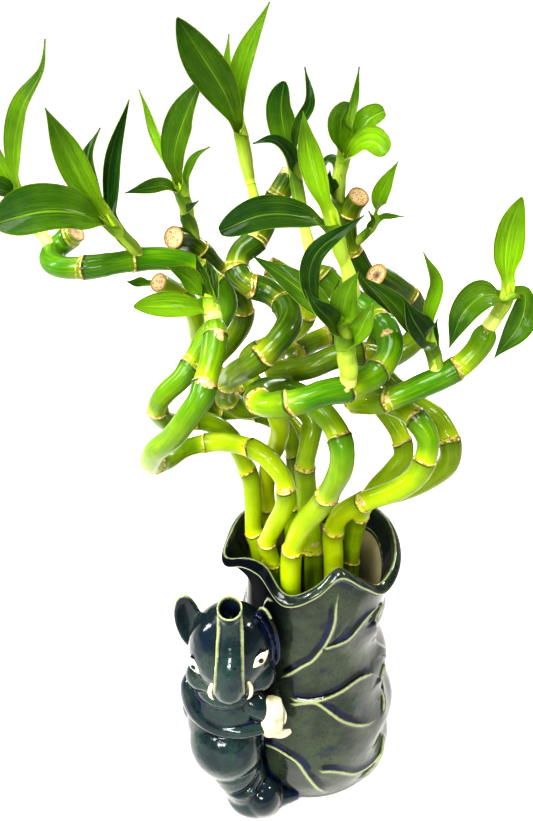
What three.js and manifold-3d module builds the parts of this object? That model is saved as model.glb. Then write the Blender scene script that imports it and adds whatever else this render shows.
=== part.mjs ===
// Curly lucky bamboo standing in water, in a glazed vase shaped as a rolled lotus leaf
// with a small elephant hugging its left front side.
// Millimetres, +Z up. The origin is the centre of the vase's flat bottom; -Y is the front.
import * as THREE from 'three';
import { mergeVertices } from 'three/addons/utils/BufferGeometryUtils.js';
import Module from 'manifold-3d';

const wasm = await Module();
wasm.setup();

// Driving dimensions of the vase.
const VASE_FLOOR = 9.5;
const THROAT_Z = 118;
const THROAT_R = 38.4;
const RIM_THICKNESS = 3.4;
const FLARE_BEND = 1.7;
const PINCH_BEND = 3;
const WATER_LEVEL = 98;
const GAP = 0.3;

// Driving dimensions of the plant.
const NODE_BUMP = 0.35;
const NODE_HALF = 1.6;
const CANE_SIDES = 7;
const CANE_STEP = 14;
const STRAIGHT = 128;
const BLADE_THICKNESS = 0.7;
const BLADE_FOLD = 0.13;
const SHORT_BLADE = 28;
const TIP_HALF_WIDTH = 0.35;

const COLOURS = {
  glaze: [0x2c3f3f, 0.16],
  water: [0xb9c8c4, 0.05],
  cane: [0x6f9a1c, 0.34],
  caneYellow: [0x9db81f, 0.36],
  caneDark: [0x4d7d18, 0.34],
  leaf: [0x4f8f1c, 0.4],
};

const vec = (p) => new THREE.Vector3(...p);
const along = (points) => new THREE.CatmullRomCurve3(points.map(vec), false, 'centripetal');

// A closed skin over a row of rings with equal numbers of points, ended by a fan at each end.
function skin(rings) {
  const sides = rings[0].length;
  const positions = [];
  const faces = [];
  for (const ring of rings) {
    for (const p of ring) {
      positions.push(p.x, p.y, p.z);
    }
  }
  for (let i = 0; i < rings.length - 1; i++) {
    for (let j = 0; j < sides; j++) {
      const a = i * sides + j;
      const b = i * sides + ((j + 1) % sides);
      faces.push(a, b, b + sides, a, b + sides, a + sides);
    }
  }
  const last = (rings.length - 1) * sides;
  for (const [start, flip] of [[0, true], [last, false]]) {
    const middle = new THREE.Vector3();
    for (let j = 0; j < sides; j++) {
      middle.add(vec(positions.slice(3 * (start + j), 3 * (start + j) + 3)));
    }
    middle.divideScalar(sides);
    const centre = positions.length / 3;
    positions.push(middle.x, middle.y, middle.z);
    for (let j = 0; j < sides; j++) {
      const a = start + j;
      const b = start + ((j + 1) % sides);
      faces.push(centre, flip ? b : a, flip ? a : b);
    }
  }
  return meshOf(positions, faces);
}

function meshOf(positions, faces) {
  const geometry = new THREE.BufferGeometry();
  geometry.setAttribute('position', new THREE.Float32BufferAttribute(positions, 3));
  geometry.setIndex(faces);
  return geometry;
}

// A solid for joining and cutting, turned to face outward if its faces point in.
function solid(geometry) {
  const plain = geometry.clone();
  plain.deleteAttribute('normal');
  plain.deleteAttribute('uv');
  const merged = mergeVertices(plain, 1e-4);
  const positions = merged.attributes.position.array;
  const faces = merged.index.array.slice();
  let volume = 0;
  for (let i = 0; i < faces.length; i += 3) {
    const [a, b, c] = [0, 1, 2].map((k) => new THREE.Vector3().fromArray(positions, 3 * faces[i + k]));
    volume += a.dot(b.cross(c));
  }
  if (volume < 0) {
    for (let i = 0; i < faces.length; i += 3) {
      [faces[i + 1], faces[i + 2]] = [faces[i + 2], faces[i + 1]];
    }
  }
  const kept = [];
  for (let i = 0; i < faces.length; i += 3) {
    const [a, b, c] = [faces[i], faces[i + 1], faces[i + 2]];
    if (a !== b && b !== c && c !== a) {
      kept.push(a, b, c);
    }
  }
  const mesh = new wasm.Mesh({
    numProp: 3,
    vertProperties: new Float32Array(positions),
    triVerts: new Uint32Array(kept),
  });
  return new wasm.Manifold(mesh);
}

function geometryOf(body) {
  const mesh = body.getMesh();
  return meshOf(Array.from(mesh.vertProperties), Array.from(mesh.triVerts));
}

const joined = (solids) => solids.reduce((sum, one) => sum.add(one));

// A round tube along a path. Each station is a distance along the path and a radius there.
function tube(curve, stations, sides) {
  const length = curve.getLength();
  const rings = [];
  let side = new THREE.Vector3(1, 0, 0);
  for (const [distance, radius] of stations) {
    const u = THREE.MathUtils.clamp(distance / length, 0, 1);
    const centre = curve.getPointAt(u);
    const tangent = curve.getTangentAt(u);
    centre.addScaledVector(tangent, distance - u * length);
    side = side.clone().addScaledVector(tangent, -side.dot(tangent)).normalize();
    const other = tangent.clone().cross(side);
    const ring = [];
    for (let j = 0; j < sides; j++) {
      const angle = (2 * Math.PI * j) / sides;
      ring.push(centre.clone()
        .addScaledVector(side, radius * Math.cos(angle))
        .addScaledVector(other, radius * Math.sin(angle)));
    }
    rings.push(ring);
  }
  return skin(rings);
}

// A tapered tube whose radii are spread evenly along the path.
function taper(points, radii, sides, steps) {
  const curve = along(points);
  const length = curve.getLength();
  const stations = [];
  for (let i = 0; i <= steps; i++) {
    const t = (i / steps) * (radii.length - 1);
    const k = Math.min(Math.floor(t), radii.length - 2);
    stations.push([(i / steps) * length, THREE.MathUtils.lerp(radii[k], radii[k + 1], t - k)]);
  }
  return solid(tube(curve, stations, sides));
}

function ellipsoid(centre, radii, turn = [0, 0, 0], sides = 8) {
  const ball = new THREE.SphereGeometry(1, sides, Math.round(sides * 0.6));
  ball.scale(...radii);
  ball.rotateX(turn[0]);
  ball.rotateY(turn[1]);
  ball.rotateZ(turn[2]);
  ball.translate(...centre);
  return solid(ball);
}

// The vase: profile rows of [z, radius], from the foot to the throat.
const WALL = [[3, 46.6], [14, 48.6], [28, 48.8], [42, 47.4], [58, 45.2], [74, 42], [90, 39.6], [104, 38.6]];
const CAVITY = [
  [VASE_FLOOR, 37], [14, 41.5], [40, 42.6], [64, 39.6], [82, 36.8], [98, 35.4], [THROAT_Z, 35],
];
// The ruffled rim of the leaf: [angle in degrees, radius, height], round from the back.
const RIM = [
  [90, 40, 150], [118, 41.5, 146], [146, 44, 151], [172, 45, 150], [194, 47.5, 146], [206, 41, 151],
  [222, 37, 152], [248, 39.5, 142.5], [270, 38.5, 150], [287, 37, 159], [305, 39.5, 150],
  [322, 42.5, 140.5], [342, 45, 142], [360, 46, 146], [392, 45.5, 151.5], [420, 42, 146],
];
// Leaf margins lap down the right side as three soft lobes.
const LOBE = { angle: -10, spread: 30, height: 2.4, pitch: 36, top: 41 };

// The neck is drawn in on the left, under the widest part of the lip.
const PINCH = { angle: 198, spread: 34, depth: 4.6, from: 82, to: 112 };

const VASE_SIDES = 36;

function profile(rows, z) {
  let k = rows.findIndex((row) => row[0] > z);
  k = k < 0 ? rows.length - 1 : Math.max(k, 1);
  const [z0, r0] = rows[k - 1];
  const [z1, r1] = rows[k];
  return THREE.MathUtils.lerp(r0, r1, THREE.MathUtils.clamp((z - z0) / (z1 - z0), 0, 1));
}

// 1 at an angle round the vase, falling off to 0 over the spread on both sides.
function near(degrees, { angle, spread }) {
  const turn = (((degrees - angle + 540) % 360) - 180) / spread;
  return Math.exp(-turn * turn);
}

const lobes = (degrees, z) => (
  LOBE.height * near(degrees, LOBE) * Math.cos((2 * Math.PI * (z - LOBE.top)) / LOBE.pitch));

const pinch = (degrees, z) => (
  PINCH.depth * near(degrees, PINCH) * THREE.MathUtils.smoothstep(z, PINCH.from, PINCH.to));

const wallRadius = (degrees, z) => (
  profile([...WALL, [THROAT_Z, THROAT_R]], z) + lobes(degrees, z) - pinch(degrees, z));

const cavityRadius = (degrees, z) => profile(CAVITY, z) - pinch(degrees, z);

function rimAt(degrees) {
  let angle = degrees;
  while (angle < RIM[0][0]) angle += 360;
  while (angle >= RIM[0][0] + 360) angle -= 360;
  const rows = [...RIM, [RIM[0][0] + 360, RIM[0][1], RIM[0][2]]];
  const k = rows.findIndex((row) => row[0] > angle);
  const at = (i) => {
    const n = RIM.length;
    const row = RIM[((i % n) + n) % n];
    return new THREE.Vector2(row[1], row[2]);
  };
  const t = (angle - rows[k - 1][0]) / (rows[k][0] - rows[k - 1][0]);
  const spline = (a, b, c, d) => 0.5 * (2 * b + (c - a) * t + (2 * a - 5 * b + 4 * c - d) * t * t
    + (3 * b - a - 3 * c + d) * t * t * t);
  const [a, b, c, d] = [at(k - 2), at(k - 1), at(k), at(k + 1)];
  return [spline(a.x, b.x, c.x, d.x), spline(a.y, b.y, c.y, d.y)];
}

function vaseRing(place) {
  const ring = [];
  for (let j = 0; j < VASE_SIDES; j++) {
    const degrees = 90 + (360 * j) / VASE_SIDES;
    const [radius, z] = place(degrees);
    const angle = THREE.MathUtils.degToRad(degrees);
    ring.push(new THREE.Vector3(radius * Math.cos(angle), radius * Math.sin(angle), z));
  }
  return ring;
}

// Rows run up the outside, over the rim and down the inside to the floor of the cavity.
function leafPot() {
  const flare = (degrees, s, inset) => {
    const [radius, height] = rimAt(degrees);
    const start = (inset > 0 ? cavityRadius : wallRadius)(degrees, THROAT_Z);
    const bend = FLARE_BEND + PINCH_BEND * near(degrees, PINCH);
    return [
      THREE.MathUtils.lerp(start, radius - inset, s ** bend),
      THREE.MathUtils.lerp(THROAT_Z, height, s),
    ];
  };
  const rows = [
    () => [44.5, 0],
    ...WALL.map(([z]) => (degrees) => [wallRadius(degrees, z), z]),
    (degrees) => [wallRadius(degrees, THROAT_Z), THROAT_Z],
    (degrees) => flare(degrees, 0.35, 0),
    (degrees) => flare(degrees, 0.7, 0),
    (degrees) => flare(degrees, 0.97, 0),
    (degrees) => {
      const [radius, height] = rimAt(degrees);
      return [radius - RIM_THICKNESS / 2, height + 1.2];
    },
    (degrees) => flare(degrees, 0.97, RIM_THICKNESS),
    (degrees) => flare(degrees, 0.6, RIM_THICKNESS),
    ...CAVITY.slice().reverse().map(([z]) => (degrees) => [cavityRadius(degrees, z), z]),
  ];
  return solid(skin(rows.map(vaseRing)));
}

// Raised veins of the leaf: [angle in degrees, height] along each.
const VEINS = [
  [[-114, 88], [-99, 99], [-91, 104], [-84, 112], [-80, 118], [-76, 128], [-75, 139], [-73, 147]],
  [[-84, 112], [-75, 113], [-66, 114], [-59, 117], [-51, 122], [-41, 125], [-25, 122]],
  [[-107, 77], [-96, 77], [-86, 77.5], [-77, 79], [-67, 81], [-58, 83], [-50, 83], [-40, 80], [-32, 74]],
  [[-107, 73], [-97, 75.5], [-88, 76], [-80, 71], [-72, 64], [-65, 59], [-57, 54], [-47, 49], [-36, 46]],
  [[-122, 41], [-115, 42], [-107, 40], [-98, 35], [-91, 24], [-84, 13], [-77, 5]],
  [[-85, 29], [-77, 28], [-69, 24], [-60, 18], [-51, 15], [-40, 13], [-30, 14], [-20, 20]],
  [[176, 96], [150, 104], [124, 110], [98, 122], [84, 138]],
  [[178, 60], [146, 58], [114, 46], [86, 26], [70, 10]],
  [[140, 107], [112, 100], [80, 102], [50, 112], [36, 130]],
];
const VEIN_R = 1.7;

function vein(stops) {
  const points = stops.map(([degrees, z]) => {
    const angle = THREE.MathUtils.degToRad(degrees);
    const radius = wallRadius(degrees, z);
    return [radius * Math.cos(angle), radius * Math.sin(angle), z];
  });
  const curve = along(points);
  const length = curve.getLength();
  const steps = Math.round(length / 12);
  const stations = [];
  for (let i = 0; i <= steps; i++) {
    stations.push([(i / steps) * length, VEIN_R * (i === 0 || i === steps ? 0.5 : 1)]);
  }
  return solid(tube(curve, stations, 4));
}

// The elephant stands against the pot, trunk up, both arms round the leaf.
function elephant() {
  const head = ellipsoid([-42, -37, 112], [21.5, 21, 25], [0, 0, 0], 12);
  const jaw = ellipsoid([-42, -42, 98], [20.5, 15, 14], [0, 0, 0], 10);
  const cheeks = [[-57, -46, 98], [-27.5, -47, 99]].map((p) => ellipsoid(p, [8.5, 8.5, 8.5]));
  const ears = [
    ellipsoid([-64, -29, 120], [5.5, 10, 19], [0, -0.12, 0.2]),
    ellipsoid([-19.5, -39, 119], [7, 5, 22], [0, -0.26, 0.3]),
  ];
  const trunkLine = [[-42, -56, 98], [-42, -59, 108], [-41.5, -57, 124], [-41, -53.5, 140], [-41, -52, 153]];
  const trunk = taper(trunkLine, [8.4, 7.6, 6.6, 6.2, 6.6], 10, 5);
  const bore = taper([[-41, -52.5, 148], [-41, -51.7, 156]], [4.4, 5], 8, 1);
  const tusks = [
    taper([[-50, -54, 106], [-52.5, -57, 101], [-52, -58, 96]], [2.8, 2.2, 1], 6, 2),
    taper([[-34, -54, 106], [-33, -59, 102], [-33.5, -60, 97]], [2.8, 2.2, 1], 6, 2),
  ];
  const eyes = [[-27, -50, 115.5, -0.5], [-59, -48, 110.5, 0.5]].map(([x, y, z, tilt]) => (
    ellipsoid([x, y, z], [4, 2.6, 3.4], [0, tilt, 0], 8)));
  const body = ellipsoid([-45, -35, 52], [22, 20, 34], [0, 0, 0], 12);
  const chest = ellipsoid([-44, -44, 76], [17, 13, 15]);
  const back = ellipsoid([-60, -29, 58], [10, 12, 13]);
  const arm = taper([[-61, -38, 82], [-55, -50, 77], [-43, -58, 74], [-30, -57, 73], [-20, -50, 74]],
    [7.4, 7, 6.6, 6.2, 5.6], 8, 5);
  const hand = ellipsoid([-20, -49.5, 73.5], [8, 6, 12], [0, 0.12, 0.3]);
  const thumb = ellipsoid([-13.5, -47.5, 62], [5.6, 3.8, 3.2], [0, 0.3, 0.2], 8);
  const upperArm = taper([[-38, -44, 86], [-30, -50, 82], [-24, -49, 78]], [8, 6.5, 5.5], 8, 2);
  const thigh = ellipsoid([-41, -46, 46], [18.5, 17, 14.5], [0, 0.3, 0], 10);
  const shin = taper([[-39, -47, 42], [-36, -48, 30], [-35, -47, 16]], [14, 12.4, 13], 10, 3);
  const cuff = ellipsoid([-34.5, -49, 22], [14, 12, 5], [-0.25, 0, 0]);
  const foot = ellipsoid([-31, -44, 8], [16.5, 15, 12], [0, 0, 0], 10);
  const toes = ellipsoid([-26, -50, 11], [9, 8.6, 9]);
  const tailLine = [[-55, -20, 55], [-59, -19, 46], [-58, -20, 38], [-55, -21, 32]];
  const tail = taper(tailLine, [2.4, 2.6, 2.6, 3.4], 6, 4);
  const whole = joined([head, jaw, ...cheeks, ...ears, trunk, ...tusks, ...eyes, body, chest, back,
    arm, hand, thumb, upperArm, thigh, shin, cuff, foot, toes, tail]);
  return whole.subtract(bore);
}

function vase() {
  const below = new THREE.BoxGeometry(300, 300, 60);
  below.translate(0, 0, -30);
  const cavity = solid(skin([
    ...CAVITY.map(([z]) => vaseRing((degrees) => [cavityRadius(degrees, z), z])),
    vaseRing((degrees) => [cavityRadius(degrees, THROAT_Z) + 0.2, THROAT_Z + 8]),
  ]));
  return joined([leafPot(), ...VEINS.map(vein), elephant()])
    .subtract(cavity)
    .subtract(solid(below));
}

// Canes: the middle line from the foot in the vase to the top, and how far up it each node ring lies.
const CANES = {
  cane_1: {
    radius: 4.6,
    colour: 'cane',
    rings: [137, 155, 195, 223, 249, 284, 364, 383],
    path: [
      [-17, -11, 10], [-18, -11, 60], [-21.5, -13.5, 147], [-24, -17, 161], [-20, -22, 177], [-16, -26, 190],
      [-15, -27, 199], [-16, -26, 206], [-21, -23, 213], [-27, -18, 216], [-35, -12, 216], [-45, -6, 214],
      [-54, -4, 212], [-63, -9, 212], [-70, -20, 213], [-74, -36, 222], [-69, -52, 239], [-60, -62, 252],
      [-53, -67, 264], [-48, -67, 272], [-46, -63, 278], [-44, -57, 284], [-43, -51, 290], [-44, -46, 295],
    ],
  },
  cane_2: {
    radius: 4.7,
    colour: 'cane',
    rings: [141, 178, 224, 255, 287, 330, 340, 368, 388, 433],
    path: [
      [-16, 4, 10], [-18, 4, 60], [-28.5, 5, 142], [-31, 7, 151], [-31, 10, 164], [-32, 13, 178],
      [-36, 13, 191], [-41, 11, 205], [-49, 8, 215], [-57, 6, 219], [-65, 2, 220], [-71, -6, 226],
      [-73, -14, 237], [-68, -20, 248], [-60, -20, 256], [-55, -16, 263], [-50, -10, 270], [-44, -6, 277],
      [-41, -5, 284], [-44, -6, 292], [-50, -7, 298], [-57, -8, 303], [-66, -12, 306], [-75, -16, 307],
      [-83, -20, 307], [-93, -22, 306], [-104, -20, 305], [-112, -10, 304], [-114, 2, 305], [-109, 7, 308],
      [-102, 8, 312],
    ],
  },
  cane_3: {
    radius: 4.6,
    colour: 'caneYellow',
    rings: [146, 184, 234, 268, 295],
    path: [
      [-19, 17, 10], [-20, 17, 60], [-22, 18, 135], [-23, 20, 151], [-24, 21, 169], [-23, 14, 188],
      [-19, 2, 208], [-18, -7, 224], [-22, -7, 236], [-29, -4, 243], [-33, 1, 247], [-32, 6, 253],
      [-25, 8, 257], [-17, 7, 262], [-9, 7, 268], [-6, 8, 276], [-9, 10, 284], [-16, 13, 290],
      [-23, 13, 294],
    ],
  },
  cane_4: {
    radius: 5.2,
    colour: 'cane',
    rings: [158, 205, 239, 299, 315, 338, 355, 378, 394, 410],
    path: [
      [-8, -23, 10], [-9, -23, 60], [-12, -24, 141], [-12, -25, 158], [-11, -28, 169], [-7, -33, 186],
      [0, -38, 201], [4, -44, 215], [7, -48, 228], [7, -48, 237], [5, -44, 243], [0, -38, 248],
      [-7, -31, 251], [-16, -30, 255], [-24, -37, 259], [-28, -47, 261], [-23, -57, 263], [-12, -61, 267],
      [-2, -58, 269], [8, -54, 269], [16, -48, 270], [23, -42, 275], [25, -36, 280], [22, -30, 285],
      [16, -22, 288], [9, -16, 291], [2, -12, 296], [-4, -10, 301],
    ],
  },
  cane_5: {
    radius: 5.1,
    colour: 'caneDark',
    rings: [138, 187, 262, 290, 331, 363, 379, 388, 405, 425],
    path: [
      [2, -5, 10], [2, -5, 60], [1, -6, 135], [0, -6, 151], [-3, -4, 169], [-4, -2, 183],
      [-5, 0, 197], [-3, 2, 210], [-2, 6, 219], [-8, 9, 225], [-18, 9, 227], [-27, 9, 225],
      [-35, 7, 225], [-42, 1, 233], [-43, -10, 245], [-39, -24, 258], [-34, -37, 268], [-26, -46, 278],
      [-19, -44, 285], [-15, -34, 288], [-17, -24, 291], [-24, -17, 294], [-32, -16, 297], [-36, -12, 301],
      [-35, -7, 306], [-28, -2, 311], [-24, 2, 318], [-21, 6, 325], [-19, 10, 332], [-19, 12, 338],
    ],
  },
  cane_6: {
    radius: 5,
    colour: 'cane',
    rings: [159, 191, 231, 252, 302, 319, 351],
    path: [
      [13, -14, 10], [12, -14, 60], [10, -14, 148], [9, -14, 165], [11, -18, 179], [17, -24, 190],
      [25, -30, 199], [35, -34, 207], [42, -36, 216], [45, -36, 227], [45, -34, 234], [40, -30, 241],
      [35, -21, 241], [27, -12, 240], [19, -13, 243], [14, -24, 247], [17, -36, 252], [28, -40, 257],
      [39, -36, 260], [49, -34, 264], [57, -33, 270], [62, -32, 277], [64, -32, 285],
    ],
  },
  cane_7: {
    radius: 4.7,
    colour: 'caneDark',
    rings: [130, 163, 211, 261, 312, 331],
    path: [
      [24, -3, 10], [23, -3, 60], [20, -4, 140], [21, -4, 156], [23, -8, 174], [29, -10, 190],
      [36, -10, 200], [41, -8, 208], [39, -4, 217], [34, 2, 224], [27, 7, 232], [23, 8, 244],
      [25, 7, 256], [28, 6, 267], [28, 8, 278], [23, 10, 286], [17, 12, 295], [12, 12, 304],
      [10, 12, 313], [12, 8, 322], [14, 4, 327],
    ],
  },
  cane_8: {
    radius: 5.1,
    colour: 'caneDark',
    rings: [137, 226, 256, 311, 330, 357, 407, 447, 469],
    path: [
      [17, 12, 10], [17, 11, 60], [17, 10, 142], [21, 10, 158], [31, 8, 171], [44, 4, 178],
      [56, 0, 188], [64, -4, 201], [63, -4, 214], [57, 2, 223], [48, 11, 226], [41, 20, 229],
      [34, 27, 233], [27, 31, 239], [18, 32, 247], [10, 32, 252], [0, 28, 251], [-10, 20, 249],
      [-18, 8, 248], [-19, -8, 253], [-13, -18, 258], [-5, -22, 262], [5, -21, 266], [16, -17, 266],
      [28, -11, 261], [37, -3, 261], [44, 4, 265], [44, 6, 273], [39, 2, 283], [30, -6, 292],
      [21, -12, 299],
    ],
  },
  cane_9: {
    radius: 4.8,
    colour: 'caneDark',
    rings: [150, 181, 214, 233, 268, 298, 323, 337],
    path: [
      [-6, 14, 10], [-7, 15, 60], [-10, 16, 150], [-11, 16, 170], [-9, 18, 185], [-11, 20, 197],
      [-17, 22, 207], [-26, 22, 213], [-37, 22, 215], [-49, 20, 217], [-55, 17, 225], [-55, 16, 237],
      [-49, 17, 246], [-41, 18, 255], [-35, 17, 266], [-35, 16, 275], [-40, 14, 284], [-46, 12, 293],
      [-51, 8, 301], [-57, 3, 309], [-63, -3, 314],
    ],
  },
  cane_10: {
    radius: 4.4,
    colour: 'caneYellow',
    rings: [149, 183, 226, 268, 306],
    path: [
      [3, 25, 10], [1, 25, 60], [-3, 26, 139], [-4, 27, 159], [-3, 28, 178], [-5, 31, 192],
      [-13, 35, 202], [-24, 38, 210], [-37, 38, 216], [-47, 37, 226], [-54, 33, 239], [-57, 27, 253],
      [-57, 20, 266], [-60, 14, 278], [-65, 9, 285], [-71, 4, 290],
    ],
  },
};

// A cane is thicker by NODE_BUMP at each node ring. Grown by a gap it is the tool that clears it.
function cane({ radius, rings, path }, gap = 0) {
  const curve = along(path);
  curve.arcLengthDivisions = 800;
  const length = curve.getLength();
  const stations = [[0, radius], [STRAIGHT / 2, radius], [STRAIGHT, radius]];
  let from = STRAIGHT;
  for (const ring of rings) {
    const steps = Math.round((ring - NODE_HALF - from) / CANE_STEP);
    for (let i = 1; i <= steps; i++) {
      stations.push([from + (i / steps) * (ring - NODE_HALF - from), radius]);
    }
    stations.push([ring, radius + NODE_BUMP], [ring + NODE_HALF, radius]);
    from = ring + NODE_HALF;
  }
  const steps = Math.max(1, Math.round((length - from) / CANE_STEP));
  for (let i = 1; i <= steps; i++) {
    stations.push([from + (i / steps) * (length - from), radius]);
  }
  const grown = stations.map(([distance, r]) => [distance, r + 1.15 * gap]);
  grown[0][0] -= gap;
  grown[grown.length - 1][0] += gap;
  return solid(tube(curve, grown, CANE_SIDES));
}

// A leaf blade: a lance outline on a midrib, folded a little along it and one thickness all over.
function blade([midrib, width, face = [0, -0.75, 0.66]]) {
  const curve = along(midrib);
  const columns = [-1, 0, 1];
  const stops = curve.getLength() > SHORT_BLADE ? [0, 0.16, 0.36, 0.58, 0.8, 1] : [0, 0.25, 0.6, 1];
  const top = [];
  const bottom = [];
  for (const t of stops) {
    const centre = curve.getPointAt(t);
    const tangent = curve.getTangentAt(t);
    const side = tangent.clone().cross(vec(face)).normalize();
    const up = side.clone().cross(tangent).normalize();
    const outline = Math.sin(Math.PI * (0.07 + 0.92 * t) ** 0.82) ** 0.9;
    const half = Math.max(TIP_HALF_WIDTH, (width / 2) * outline);
    for (const c of columns) {
      const p = centre.clone()
        .addScaledVector(side, c * half)
        .addScaledVector(up, Math.abs(c) * half * 2 * BLADE_FOLD);
      top.push(p);
      bottom.push(p.clone().addScaledVector(up, -BLADE_THICKNESS));
    }
  }
  const n = columns.length;
  const rows = stops.length;
  const offset = rows * n;
  const faces = [];
  for (let i = 0; i < rows - 1; i++) {
    for (let j = 0; j < n - 1; j++) {
      const a = i * n + j;
      faces.push(a, a + 1, a + n + 1, a, a + n + 1, a + n);
      const b = offset + a;
      faces.push(b, b + n + 1, b + 1, b, b + n, b + n + 1);
    }
  }
  const border = [];
  for (let j = 0; j < n - 1; j++) border.push([j + 1, j]);
  for (let i = 0; i < rows - 1; i++) border.push([(i + 1) * n + n - 1, i * n + n - 1]);
  for (let j = n - 1; j > 0; j--) border.push([(rows - 1) * n + j - 1, (rows - 1) * n + j]);
  for (let i = rows - 1; i > 0; i--) border.push([(i - 1) * n, i * n]);
  for (const [a, b] of border) {
    faces.push(a, b, offset + b, a, offset + b, offset + a);
  }
  return solid(meshOf([...top, ...bottom].flatMap((p) => [p.x, p.y, p.z]), faces));
}

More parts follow.
